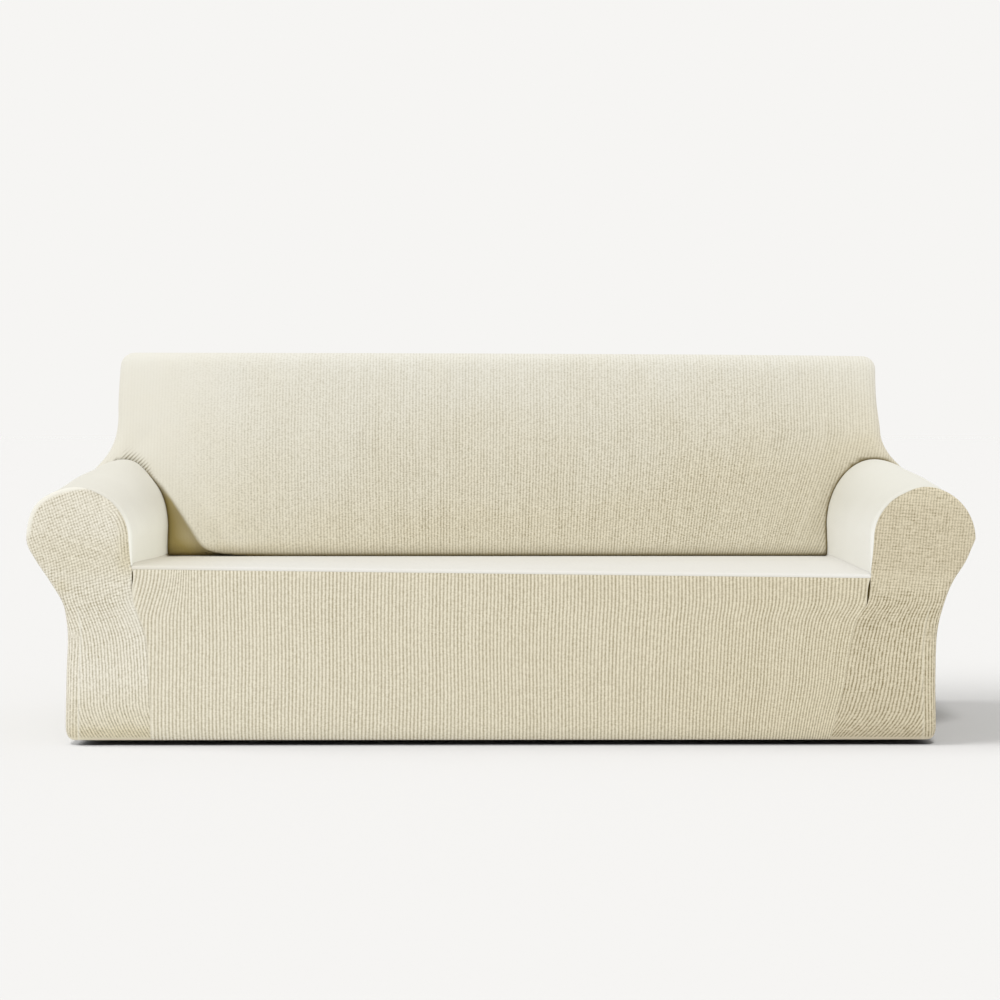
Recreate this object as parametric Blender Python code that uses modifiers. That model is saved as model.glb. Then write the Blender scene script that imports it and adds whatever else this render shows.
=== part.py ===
"""Fitted sofa slipcover of thin stretch knit: a hollow cover of eight sewn panels.

Metres, X to the right, Y to the back, Z up. The origin is at floor level, under the middle of the cover.
"""

import math

import bmesh
import bpy

# overall sizes
FRONT_Y = -0.447
REAR_Y = 0.450
TOP_Z = 0.926
SEAT_Z = 0.394

# cloth and seams
CLOTH = 0.0025
RIB_CLOTH = 0.0016
RIB_HEIGHT = 0.0012
SEAM_GAP = 0.0003
LIP = 0.002
WELD = 0.000001

# hem, drawn in under the bottom edge
HEM_HEIGHT = 0.032
HEM_DRAW = 0.014
HEM_ROWS = (0.0, 0.010, 0.032)

# inside back
CREASE_Y = 0.140
BACK_LEAN = 0.245
BACK_EDGE_RADIUS = 0.035
BACK_CURL_HEIGHT = 0.036
BACK_CURL_DEPTH = 0.016
BACK_HALF_WIDTH = 1.0
BACK_FLARE_FROM = 0.86
BACK_ROWS = (0.405, 0.418, 0.436, 0.475, 0.515, 0.550, 0.575, 0.615, 0.635, 0.655, 0.675,
             0.694, 0.735, 0.810, 0.885)
BACK_TOP_INSETS = (0.020, 0.006, 0.0)
BACK_EDGE_TURNS = (20, 40, 58, 72, 82, 90)
BACK_COLUMNS = (-0.965, -0.930, -0.900, -0.875, -0.850, -0.825, -0.800, -0.775, -0.750, -0.720,
                -0.680, -0.620, -0.500, -0.300, -0.100, 0.100, 0.300, 0.500, 0.650, 0.740,
                0.790, 0.830, 0.870, 0.900, 0.930, 0.965)

# half width of the back's sides by height, flaring down onto the rolls
BACK_SIDES = (
    {"z": 0.300, "left": 0.960, "right": 0.960},
    {"z": 0.400, "left": 1.030, "right": 1.030},
    {"z": 0.500, "left": 1.078, "right": 1.078},
    {"z": 0.550, "left": 1.088, "right": 1.086},
    {"z": 0.575, "left": 1.084, "right": 1.080},
    {"z": 0.615, "left": 1.060, "right": 1.056},
    {"z": 0.655, "left": 1.023, "right": 1.012},
    {"z": 0.694, "left": 1.004, "right": 0.998},
    {"z": 0.735, "left": 0.998, "right": 0.993},
    {"z": 0.790, "left": 0.999, "right": 0.993},
    {"z": 0.930, "left": 0.998, "right": 0.995},
)

# how far the top edge dips from the left shoulder to the right one
TOP_EDGE = (
    {"x": -1.00, "dip": 0.000},
    {"x": -0.40, "dip": 0.001},
    {"x": 0.20, "dip": 0.004},
    {"x": 0.70, "dip": 0.008},
    {"x": 1.00, "dip": 0.010},
)

# feet and rear faces of the blocks that hollow the back, clear the arms and hollow the front drop
HOLLOW_FOOT_Z = 0.34
CLEAR_FOOT_Z = 0.31
HOLLOW_REAR_Y = REAR_Y + 0.01
CLEAR_REAR_Y = REAR_Y + 0.02
DROP_REAR_Y = -0.42
DROP_HOLLOW_REAR_Y = -0.40
DROP_HOLLOW_SPREAD = 0.02

# tuck pulled in at the left foot of the back
TUCK_FOOT_X = -0.755
TUCK_RISE_X = -0.105
TUCK_RISE_Z = 0.165
TUCK_WIDTH = 0.060
TUCK_DEPTH = 0.026
TUCK_FADE = 0.35

# soft folds near the foot of the back: place, slope, size and depth, a ridge where depth is negative
BACK_FOLDS = (
    {"x": -0.725, "z": 0.470, "slope": -0.62, "wide": 0.030, "high": 0.070, "depth": -0.008},
    {"x": -0.660, "z": 0.440, "slope": -0.40, "wide": 0.030, "high": 0.045, "depth": 0.004},
    {"x": -0.930, "z": 0.690, "slope": 0.50, "wide": 0.030, "high": 0.040, "depth": 0.006},
    {"x": 0.800, "z": 0.500, "slope": 0.25, "wide": 0.022, "high": 0.080, "depth": -0.007},
    {"x": 0.905, "z": 0.670, "slope": -0.60, "wide": 0.030, "high": 0.040, "depth": 0.005},
)

# rear panel
REAR_EDGE_RADIUS = 0.016
REAR_FLANGE = 0.004
REAR_INSETS = (0.0, 0.002, 0.007, 0.016)
REAR_MID_COLUMNS = 4
REAR_FLANGE_Y = REAR_Y - REAR_EDGE_RADIUS - REAR_FLANGE
REAR_END_Y = REAR_FLANGE_Y - SEAM_GAP
REAR_ROWS = (0.150, 0.275, 0.313, 0.365, 0.415, 0.452, 0.500, 0.550, 0.575, 0.615, 0.655,
             0.694, 0.735)

# arm rolls
ROLL_X = 0.978
ROLL_Z = 0.466
ROLL_RADIUS = 0.122
ROLL_STEP = 10
ROLL_LIFT = 0.46
LIFT_FROM_Y = -0.42
LIFT_TO_Y = 0.20
WALL_FRONT_X = 0.855
WALL_FOOT_Z = 0.388
WALL_REAR_X = {"left": 0.862, "right": 0.847}
WALL_POINTS = 2
WALL_CORNERS = (0.001, 0.005)
ROLL_CORNER = 0.008
DISC_SIDE_STEPS = 4
POST_CORNER = 0.020
ARM_EDGE_TURNS = (90, 60, 30, 0)
ARM_DEPTHS = (-0.36, -0.22, -0.08, 0.06, 0.20)
ARM_BLOCK_DEPTHS = (-0.20, -0.02, 0.08, 0.17, 0.29, 0.43, 0.47)
ARM_BLOCK_FOOT_Z = -0.05

# outline under each roll, from the widest point down to the straight side
UNDER_ROLL = (
    {"z": 0.452, "left": 1.097, "right": 1.094},
    {"z": 0.415, "left": 1.077, "right": 1.078},
    {"z": 0.365, "left": 1.044, "right": 1.047},
    {"z": 0.313, "left": 1.015, "right": 1.027},
    {"z": 0.275, "left": 1.008, "right": 1.017},
    {"z": 0.150, "left": 1.009, "right": 1.009},
)
SIDE_X = {"left": 1.011, "right": 1.010}

# seam between the front drop and the arm fronts, with the open slit on the right
DROP_TOP_Z = 0.3857
DROP_SEAM = (
    {"z": 0.000, "left": 0.8120, "right": 0.7800, "slit": 0.0000},
    {"z": 0.010, "left": 0.8121, "right": 0.7810, "slit": 0.0000},
    {"z": 0.032, "left": 0.8124, "right": 0.7835, "slit": 0.0000},
    {"z": 0.190, "left": 0.8200, "right": 0.8100, "slit": 0.0000},
    {"z": 0.313, "left": 0.8500, "right": 0.8490, "slit": 0.0004},
    {"z": 0.345, "left": 0.8550, "right": 0.8535, "slit": 0.0085},
    {"z": DROP_TOP_Z, "left": 0.8545, "right": 0.8550, "slit": 0.0020},
)
DROP_RIBS = 194
DOME = 0.003

# seat deck
SEAT_EDGE_RADIUS = 0.006
SEAT_REAR_Y = 0.166
SEAT_FRONT_MARGIN = 0.0035
SEAT_COLUMNS = 10
SEAT_DEPTHS = (-0.41, -0.25, -0.05, 0.12)
SEAT_DISH = 0.003
SEAT_EDGE_BLEND = 0.05
SEAT_DISH_FRONT = 0.12
SEAT_DISH_REAR = 0.15
SEAT_DISH_MARGIN = 0.03

# the front edge of the seat stands higher on the left and lower on the right
SEAT_TILT = 0.0105
TILT_END_Y = 0.10
TILT_FOOT_Z = 0.313

SIDES = {"left": -1.0, "right": 1.0}
KNIT_CREAM = (0.80, 0.76, 0.62, 1.0)
CLOTH_ROUGHNESS = 0.95
SHARP_ANGLE = 50
SMOOTH_CREAM = (0.86, 0.83, 0.72, 1.0)


def table_value(table, key, value, column):
    """Straight-line value of a column between a table's rows."""
    rows = sorted(table, key=lambda row: row[key])
    if value <= rows[0][key]:
        return rows[0][column]
    for low, high in zip(rows, rows[1:]):
        if value <= high[key]:
            share = (value - low[key]) / (high[key] - low[key])
            return low[column] + share * (high[column] - low[column])
    return rows[-1][column]


def ease(value):
    """Smooth step from 0 to 1."""
    value = max(0.0, min(1.0, value))
    return value * value * (3.0 - 2.0 * value)


def hem_draw(z):
    """How far the cloth is drawn in at a height near the hem."""
    if z >= HEM_HEIGHT:
        return 0.0
    down = (HEM_HEIGHT - z) / HEM_HEIGHT
    return HEM_DRAW * (1.0 - math.sqrt(max(0.0, 1.0 - 0.96 * down * down)))


def round_drop(distance, radius):
    """Depth of a rounded edge at a distance in from the outline."""
    if distance >= radius:
        return 0.0
    rest = radius - max(distance, 0.0)
    return radius - math.sqrt(max(0.0, radius * radius - rest * rest))


def clear_scene():
    for old in list(bpy.data.objects):
        bpy.data.objects.remove(old, do_unlink=True)


def new_collection(name):
    collection = bpy.data.collections.new(name)
    bpy.context.scene.collection.children.link(collection)
    return collection


def give_cloth(made, name, colour):
    """A matt cloth material of its own for one panel."""
    material = bpy.data.materials.new(name)
    material.use_nodes = True
    shader = material.node_tree.nodes["Principled BSDF"]
    shader.inputs["Base Color"].default_value = colour
    shader.inputs["Roughness"].default_value = CLOTH_ROUGHNESS
    made.data.materials.append(material)


def mesh_object(name, mesh_data, collection):
    mesh = bpy.data.meshes.new(name)
    mesh_data.normal_update()
    mesh_data.to_mesh(mesh)
    mesh_data.free()
    made = bpy.data.objects.new(name, mesh)
    collection.objects.link(made)
    return made


def shaped_grid(columns, rows, place):
    """A grid of columns by rows of points, each put where place(column, row) says."""
    sheet = bmesh.new()
    bmesh.ops.create_grid(sheet, x_segments=columns - 1, y_segments=rows - 1, size=1.0)
    for vert in sheet.verts:
        column = round((vert.co.x + 1.0) / 2.0 * (columns - 1))
        row = round((vert.co.y + 1.0) / 2.0 * (rows - 1))
        vert.co = place(column, row)
    return sheet


def face_outward(sheet, direction):
    """Turn the sheet so that its faces look along direction on the whole."""
    sheet.normal_update()
    total = sum((face.normal.dot(direction) * face.calc_area() for face in sheet.faces))
    if total < 0.0:
        bmesh.ops.reverse_faces(sheet, faces=sheet.faces[:])


def closed_block(sheet, rear_y):
    """Close a front sheet into a block that reaches back to rear_y."""
    rim = [edge for edge in sheet.edges if edge.is_boundary]
    pushed = bmesh.ops.extrude_edge_only(sheet, edges=rim)
    new_edges = [item for item in pushed["geom"] if isinstance(item, bmesh.types.BMEdge)]
    for item in pushed["geom"]:
        if isinstance(item, bmesh.types.BMVert):
            item.co.y = rear_y
    rear_rim = [edge for edge in new_edges if edge.is_boundary]
    bmesh.ops.edgeloop_fill(sheet, edges=rear_rim)
    bmesh.ops.recalc_face_normals(sheet, faces=sheet.faces[:])
    return sheet


def thicken(made, thickness):
    modifier = made.modifiers.new("cloth", "SOLIDIFY")
    modifier.thickness = thickness
    modifier.offset = -1.0
    modifier.use_even_offset = True


def cut_by(made, cutter, name):
    modifier = made.modifiers.new(name, "BOOLEAN")
    modifier.operation = "DIFFERENCE"
    modifier.solver = "EXACT"
    modifier.object = cutter


def smooth_shading(made, angle):
    for face in made.data.polygons:
        face.use_smooth = True
    made.data.set_sharp_from_angle(angle=math.radians(angle))


def top_edge(x):
    return TOP_Z - table_value(TOP_EDGE, "x", x, "dip")


def back_side(side, z, inset):
    return table_value(BACK_SIDES, "z", z, side) - inset


def back_face_y(z):
    """Front of the inside back: leaning, and curled in along its foot."""
    height = max(z, SEAT_Z) - SEAT_Z
    depth = CREASE_Y + BACK_LEAN * height
    if height < BACK_CURL_HEIGHT:
        low = 1.0 - height / BACK_CURL_HEIGHT
        depth += BACK_CURL_DEPTH * low * low
    return depth


def tuck_depth(x, z):
    """How far the left foot of the back is pulled in beyond its slanting fold."""
    across = TUCK_FOOT_X + TUCK_RISE_X * (z - SEAT_Z) / TUCK_RISE_Z - x
    fade = 1.0 - ease((z - SEAT_Z) / TUCK_RISE_Z - TUCK_FADE)
    return TUCK_DEPTH * ease(across / TUCK_WIDTH) * fade


def fold_depth(x, z):
    """Depth of the soft folds at a place on the back."""
    depth = 0.0
    for fold in BACK_FOLDS:
        across = (x - fold["x"] - fold["slope"] * (z - fold["z"])) / fold["wide"]
        along = (z - fold["z"]) / fold["high"]
        depth += fold["depth"] * math.exp(-across * across - along * along)
    return depth


def back_corner_half(x_side, below_top, radius):
    """Half width where the top corner is rounded."""
    if below_top >= radius:
        return x_side
    rest = radius - below_top
    return x_side - radius + math.sqrt(max(0.0, radius * radius - rest * rest))


def back_point(share, row_z, from_top, inset):
    """Point on the inside back, share of the half width across.

    row_z is a height, or None for a row that keeps from_top under the top edge.
    """
    guide_x = share * BACK_HALF_WIDTH
    top = top_edge(guide_x) - inset
    radius = BACK_EDGE_RADIUS - inset
    z = row_z if row_z is not None else top - from_top
    side = back_side("left" if share < 0.0 else "right", z, inset)
    half = back_corner_half(side, top - z, radius)
    spread = ease((abs(share) - BACK_FLARE_FROM) / (1.0 - BACK_FLARE_FROM))
    x = guide_x + (half - BACK_HALF_WIDTH) * spread * (1.0 if share > 0.0 else -1.0)
    beside = side - abs(x)
    below = top - z
    if beside < radius and below < radius:
        distance = radius - math.hypot(radius - beside, radius - below)
    else:
        distance = min(beside, below)
    y = back_face_y(z) + inset + tuck_depth(x, z) + fold_depth(x, z)
    return x, y + round_drop(distance, radius), z


def back_shares():
    """Column places across the back, with close ones round the two side edges."""
    flat = 1.0 - BACK_EDGE_RADIUS / BACK_HALF_WIDTH
    edge = [flat + (1.0 - flat) * math.sin(math.radians(turn)) for turn in BACK_EDGE_TURNS]
    return [-share for share in reversed(edge)] + list(BACK_COLUMNS) + edge


def back_block(name, collection, inset, foot_z, rear_y):
    """The solid inside the back's surface, sunk by inset."""
    shares = back_shares()
    rows = [foot_z] + [z for z in BACK_ROWS if z > foot_z + CLOTH]
    tops = list(BACK_TOP_INSETS)
    row_count = len(rows) + len(tops)

    def place(column, row):
        if row < len(rows):
            return back_point(shares[column], rows[row], 0.0, inset)
        return back_point(shares[column], None, tops[row - len(rows)], inset)

    sheet = shaped_grid(len(shares), row_count, place)
    return mesh_object(name, closed_block(sheet, rear_y), collection)


def wall_x(side, y):
    """Inner face of the arm, a little crooked from front to rear."""
    along = ease((y - FRONT_Y) / (SEAT_REAR_Y - FRONT_Y))
    return WALL_FRONT_X + (WALL_REAR_X[side] - WALL_FRONT_X) * along


def seat_lift(x, y):
    """How far the tilted seat stands above or below its mean height."""
    fade = 1.0 - ease((y - FRONT_Y) / (TILT_END_Y - FRONT_Y))
    return -SEAT_TILT * x / WALL_FRONT_X * fade


def seam_lift(x, z):
    """The seat's tilt carried down the front seams, gone at the foot of the slit."""
    return seat_lift(x, FRONT_Y) * ease((z - TILT_FOOT_Z) / (DROP_TOP_Z - TILT_FOOT_Z))


def roll_lift(y):
    return 1.0 + ROLL_LIFT * ease((y - LIFT_FROM_Y) / (LIFT_TO_Y - LIFT_FROM_Y))


def arm_profile(side, y):
    """Arm outline at a depth, from the foot of the inner face over the roll to the hem."""
    wall = wall_x(side, y)
    foot = WALL_FOOT_Z + seat_lift(SIDES[side] * wall, y)
    points = [(wall, foot), (wall, (foot + ROLL_Z) / 2.0)]
    for angle in range(180, -1, -ROLL_STEP):
        turn = math.radians(angle)
        inward = max(0.0, -math.cos(turn))
        x = ROLL_X + ROLL_RADIUS * math.cos(turn)
        x += (wall - (ROLL_X - ROLL_RADIUS)) * inward * inward
        points.append((x, ROLL_Z + ROLL_RADIUS * math.sin(turn) * roll_lift(y)))
    points += [(row[side], row["z"]) for row in UNDER_ROLL]
    points += [(SIDE_X[side] - hem_draw(z), z) for z in reversed(HEM_ROWS)]
    return points


def corner_radius(points, index):
    """Radius of the arm's front edge, growing from the wall's foot and down the post."""
    roll_end = WALL_POINTS + 180 // ROLL_STEP
    if index < WALL_POINTS:
        return WALL_CORNERS[index]
    down = (index - roll_end) / (len(UNDER_ROLL) - 1)
    return ROLL_CORNER + (POST_CORNER - ROLL_CORNER) * ease(down)


def sunk(points, index, depth):
    """A profile point moved in, square to the profile."""
    x0, z0 = points[max(index - 1, 0)]
    x1, z1 = points[min(index + 1, len(points) - 1)]
    if points[index][1] < HEM_HEIGHT or index == 0:
        x0, z0, x1, z1 = 0.0, (1.0 if index else -1.0), 0.0, 0.0
    length = math.hypot(x1 - x0, z1 - z0)
    x, z = points[index]
    return x + depth * (z1 - z0) / length, z - depth * (x1 - x0) / length


def arm_row_point(side, row, index):
    """Point of the arm panel: flat lip, rounded front edge, then the depths to the rear."""
    front = arm_profile(side, FRONT_Y)
    radius = corner_radius(front, index)
    start = FRONT_Y + hem_draw(front[index][1])
    if row == 0:
        x, z = sunk(front, index, radius + LIP)
        return x, start, z
    if row <= len(ARM_EDGE_TURNS):
        turn = math.radians(ARM_EDGE_TURNS[row - 1])
        x, z = sunk(front, index, radius * (1.0 - math.cos(turn)))
        return x, start + radius * (1.0 - math.sin(turn)), z
    y = (list(ARM_DEPTHS) + [REAR_END_Y])[row - 1 - len(ARM_EDGE_TURNS)]
    x, z = arm_profile(side, y)[index]
    return x, y, z


def arm_panel(side, collection):
    columns = len(arm_profile(side, 0.0))
    rows = 1 + len(ARM_EDGE_TURNS) + len(ARM_DEPTHS) + 1

    def place(column, row):
        x, y, z = arm_row_point(side, row, column)
        return SIDES[side] * x, y, z

    sheet = shaped_grid(columns, rows, place)
    face_outward(sheet, (SIDES[side] * 0.6, -0.1, 0.8))
    made = mesh_object("arm_panel_" + side, sheet, collection)
    give_cloth(made, "smooth_knit_arm_" + side, SMOOTH_CREAM)
    smooth_shading(made, SHARP_ANGLE)
    thicken(made, CLOTH)
    return made


def arm_block(side, collection):
    """The solid inside an arm, from ahead of the back to behind the rear panel."""
    depths = ARM_BLOCK_DEPTHS
    columns = len(arm_profile(side, 0.0)) + 3

    def place(column, row):
        points = arm_profile(side, depths[row])
        wall = points[0][0]
        points = points + [(points[-1][0], ARM_BLOCK_FOOT_Z), (wall, ARM_BLOCK_FOOT_Z), points[0]]
        x, z = points[column]
        return SIDES[side] * x, depths[row], z

    sheet = shaped_grid(columns, len(depths), place)
    bmesh.ops.remove_doubles(sheet, verts=sheet.verts[:], dist=WELD)
    rims = [edge for edge in sheet.edges if edge.is_boundary]
    bmesh.ops.holes_fill(sheet, edges=rims, sides=0)
    bmesh.ops.recalc_face_normals(sheet, faces=sheet.faces[:])
    return mesh_object("arm_block_" + side, sheet, collection)


def arm_front(side, collection):
    """Disc at the end of the roll and the post under it, laid between its four edges."""
    front = arm_profile(side, FRONT_Y)
    inner_top = WALL_POINTS + DISC_SIDE_STEPS
    outer_top = WALL_POINTS + 180 // ROLL_STEP - DISC_SIDE_STEPS

    def rim(index):
        return sunk(front, index, corner_radius(front, index) + LIP + SEAM_GAP)

    inner = []
    for row in DROP_SEAM:
        lift = seam_lift(SIDES[side] * row[side], row["z"])
        inner.append((row[side] + SEAM_GAP, row["z"] + lift))
    inner += [rim(index) for index in range(0, inner_top + 1)]
    outer = [rim(index) for index in range(len(front) - 1, outer_top - 1, -1)]
    top = [rim(index) for index in range(inner_top, outer_top + 1)]
    columns = len(top)
    rows = len(inner)

    def place(column, row):
        u = column / (columns - 1)
        v = row / (rows - 1)
        x, z = (
            (1 - u) * inner[row][axis] + u * outer[row][axis]
            + v * (top[column][axis] - (1 - u) * inner[-1][axis] - u * outer[-1][axis])
            for axis in (0, 1)
        )
        away = math.hypot(x - ROLL_X, z - ROLL_Z) / ROLL_RADIUS
        dome = DOME * max(0.0, 1.0 - away * away) * min(1.0, 8.0 * u * (1.0 - u))
        return SIDES[side] * x, FRONT_Y + hem_draw(z) - dome, z

    sheet = shaped_grid(columns, rows, place)
    face_outward(sheet, (0.0, -1.0, 0.0))
    made = mesh_object("arm_front_" + side, sheet, collection)
    give_cloth(made, "waffle_knit_" + side, KNIT_CREAM)
    smooth_shading(made, SHARP_ANGLE)
    thicken(made, CLOTH)
    return made


def skirt_block(name, collection, columns, inset, rib, spread, rear_y):
    """Front drop as a block: the ribbed outside, or the plain space behind it."""
    rows = list(DROP_SEAM)
    if spread:
        rows = [dict(rows[0], z=-spread)] + rows + [dict(rows[-1], z=rows[-1]["z"] + spread)]

    def place(column, row):
        seam = rows[row]
        z = seam["z"]
        share = column / (columns - 1)
        left = -(seam["left"] + spread)
        right = seam["right"] - seam["slit"] + spread
        x = left + share * (right - left)
        y = FRONT_Y + hem_draw(max(z, 0.0)) + inset * (2.0 if z < HEM_HEIGHT else 1.0)
        return x, y - (rib if column % 2 else 0.0), z + seam_lift(x, z)

    sheet = shaped_grid(columns, len(rows), place)
    return mesh_object(name, closed_block(sheet, rear_y), collection)


def seat_panel(collection):
    """Smooth deck, rolled over the front edge and tucked under the foot of the back."""
    lip_foot = SEAT_Z - SEAT_EDGE_RADIUS - LIP
    edge = [(FRONT_Y, lip_foot)]
    for turn in (90, 60, 30, 0):
        angle = math.radians(turn)
        y = FRONT_Y + SEAT_EDGE_RADIUS * (1.0 - math.sin(angle))
        edge.append((y, SEAT_Z - SEAT_EDGE_RADIUS * (1.0 - math.cos(angle))))
    edge += [(y, SEAT_Z) for y in SEAT_DEPTHS] + [(SEAT_REAR_Y, SEAT_Z)]

    def place(column, row):
        y, z = edge[row]
        share = 2.0 * column / (SEAT_COLUMNS - 1) - 1.0
        side = "left" if share < 0.0 else "right"
        margin = SEAT_FRONT_MARGIN + (SEAM_GAP - SEAT_FRONT_MARGIN) * ease((y - FRONT_Y) / SEAT_EDGE_BLEND)
        half = wall_x(side, y) - margin
        inside = (1.0 - share * share) * ease((y - FRONT_Y) / SEAT_DISH_FRONT)
        inside *= ease((SEAT_REAR_Y - SEAT_DISH_MARGIN - y) / SEAT_DISH_REAR)
        x = share * half
        return x, y, z + seat_lift(x, y) - SEAT_DISH * inside

    sheet = shaped_grid(SEAT_COLUMNS, len(edge), place)
    face_outward(sheet, (0.0, -0.2, 1.0))
    made = mesh_object("seat_panel", sheet, collection)
    give_cloth(made, "smooth_knit_seat", SMOOTH_CREAM)
    smooth_shading(made, SHARP_ANGLE)
    thicken(made, CLOTH)
    return made


def rear_half(side, z):
    """Half width of the rear outline: the back's side above, the arm's outside below."""
    outer = arm_profile(side, REAR_END_Y)[WALL_POINTS + 90 // ROLL_STEP:]
    arm = 0.0
    for high, low in zip(outer, outer[1:]):
        if low[1] <= z <= high[1]:
            share = (z - low[1]) / max(1e-9, high[1] - low[1])
            arm = max(arm, low[0] + share * (high[0] - low[0]))
    back = back_side(side, z, 0.0) if z > ROLL_Z else 0.0
    return max(arm, back)


def rear_panel(collection):
    """Outside back, from the top edge to the hem, with its edges rounded forward."""
    heights = list(HEM_ROWS) + list(REAR_ROWS)
    tops = [BACK_EDGE_RADIUS] + list(reversed(REAR_INSETS)) + [None]
    insets = [None] + list(REAR_INSETS)
    middle = REAR_MID_COLUMNS
    columns = 2 * len(insets) + middle - 1

    def place(column, row):
        on_left = column < len(insets)
        on_right = column >= columns - len(insets)
        if on_left:
            side, inset = "left", insets[column]
        elif on_right:
            side, inset = "right", insets[columns - 1 - column]
        else:
            share = (column - len(insets) + 1) / middle
            side, inset = ("left" if share < 0.5 else "right"), None
        edge_column = on_left or on_right
        if row < len(heights):
            from_top, z = None, heights[row]
        else:
            from_top, z = tops[row - len(heights)], None
        flat_x = SIDES[side] * BACK_HALF_WIDTH
        if not edge_column:
            flat_x = (2.0 * share - 1.0) * BACK_HALF_WIDTH
        top = top_edge(flat_x)
        if z is None:
            z = top - (from_top or 0.0)
        full = rear_half(side, z)
        half = back_corner_half(full, top - z, BACK_EDGE_RADIUS)
        on_flange = row == len(heights) + len(tops) - 1 or (edge_column and inset is None)
        if edge_column:
            x = SIDES[side] * (half - (inset or 0.0))
        else:
            x = (2.0 * share - 1.0) * (half - REAR_INSETS[-1])
        if on_flange:
            return x, REAR_FLANGE_Y, z
        beside = full - abs(x)
        below = top - z
        if beside < BACK_EDGE_RADIUS and below < BACK_EDGE_RADIUS:
            distance = BACK_EDGE_RADIUS - math.hypot(BACK_EDGE_RADIUS - beside, BACK_EDGE_RADIUS - below)
        else:
            distance = min(beside, below)
        drop = round_drop(distance, REAR_EDGE_RADIUS)
        draw = hem_draw(z) * (1.0 - drop / REAR_EDGE_RADIUS)
        return x, REAR_Y - drop - draw, z

    sheet = shaped_grid(columns, len(heights) + len(tops), place)
    bmesh.ops.remove_doubles(sheet, verts=sheet.verts[:], dist=WELD)
    face_outward(sheet, (0.0, 1.0, 0.0))
    made = mesh_object("rear_panel", sheet, collection)
    give_cloth(made, "ribbed_knit_rear", KNIT_CREAM)
    smooth_shading(made, SHARP_ANGLE)
    thicken(made, CLOTH)
    return made


def build():
    clear_scene()
    cover = new_collection("sofa_slipcover")
    cutters = new_collection("cutters")

    seat_top = SEAT_Z + 2.0 * SEAM_GAP
    back = back_block("back_panel", cover, 0.0, seat_top, REAR_END_Y)
    give_cloth(back, "ribbed_knit_back", KNIT_CREAM)
    smooth_shading(back, SHARP_ANGLE)
    hollow = back_block("back_hollow", cutters, CLOTH, HOLLOW_FOOT_Z, HOLLOW_REAR_Y)
    cut_by(back, hollow, "hollow")
    arm_clear = back_block("back_clear", cutters, -SEAM_GAP, CLEAR_FOOT_Z, CLEAR_REAR_Y)

    for side in SIDES:
        cut_by(back, arm_block(side, cutters), "seam_" + side)
        cut_by(arm_panel(side, cover), arm_clear, "back_seam")
        arm_front(side, cover)

    drop_columns = 2 * DROP_RIBS + 1
    skirt = skirt_block("skirt_panel", cover, drop_columns, 0.0, RIB_HEIGHT, 0.0, DROP_REAR_Y)
    give_cloth(skirt, "ribbed_knit_skirt", KNIT_CREAM)
    smooth_shading(skirt, SHARP_ANGLE)
    behind = skirt_block(
        "skirt_hollow", cutters, 3, RIB_CLOTH, 0.0, DROP_HOLLOW_SPREAD, DROP_HOLLOW_REAR_Y)
    cut_by(skirt, behind, "hollow")

    seat_panel(cover)
    rear_panel(cover)

    for cutter in cutters.objects:
        cutter.hide_render = True
        cutter.display_type = "WIRE"


build()
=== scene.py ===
import math
import bpy
import numpy as np
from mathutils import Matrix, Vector


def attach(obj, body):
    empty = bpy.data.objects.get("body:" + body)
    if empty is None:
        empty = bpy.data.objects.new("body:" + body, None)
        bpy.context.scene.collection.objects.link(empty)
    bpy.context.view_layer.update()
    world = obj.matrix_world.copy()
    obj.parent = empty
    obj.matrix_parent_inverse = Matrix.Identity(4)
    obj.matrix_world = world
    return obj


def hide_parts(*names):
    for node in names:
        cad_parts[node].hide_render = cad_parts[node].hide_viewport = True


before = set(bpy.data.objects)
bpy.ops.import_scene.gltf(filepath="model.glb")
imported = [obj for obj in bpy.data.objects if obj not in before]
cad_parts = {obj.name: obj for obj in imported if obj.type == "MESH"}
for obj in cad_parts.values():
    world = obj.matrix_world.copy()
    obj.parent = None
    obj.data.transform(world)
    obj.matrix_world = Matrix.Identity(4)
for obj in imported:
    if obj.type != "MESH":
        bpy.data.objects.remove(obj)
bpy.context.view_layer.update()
bpy.ops.object.select_all(action="DESELECT")
print("frame loaded:", ", ".join(sorted(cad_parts)))

# metres; the cover is hollow and faces -Y
cover = {
    "frontY": -0.447,
    "rearY": 0.450,
    "topZ": 0.926,
    "seatZ": 0.394,
    "cloth": 0.0022,
    "ribCloth": 0.0013,
    "seamGap": 0.0003,
    "lip": 0.005,  # seam allowance that runs on behind the next piece
    "lipSunk": 0.0027,
    "hemHeight": 0.032,
    "hemDraw": 0.014,
    "hemTurn": 0.96,  # share of a full quarter round that the hem turns in
}
sideSign = {"left": -1.0, "right": 1.0}


# small shape helpers, all on whole arrays of points
# a window is a start and a reach: 0 at the start, 1 a reach further, and a negative reach runs down

def ease(value):
    value = np.clip(value, 0.0, 1.0)
    return value * value * (3.0 - 2.0 * value)


def ramp(value, window):
    start, reach = window
    return np.clip((value - start) / reach, 0.0, 1.0)


def fade(value, window):
    return ease(ramp(value, window))


def between(value, low, high):
    return fade(value, (low, high - low))


def bell(value, middle, reach):
    # 1 in the middle, fading out to both sides
    return np.exp(-((value - middle) / reach) ** 2)


def near(distance, reach):
    # 1 on a line and behind it, fading out with the distance from it
    return np.exp(-np.maximum(distance, 0.0) / reach)


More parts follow.
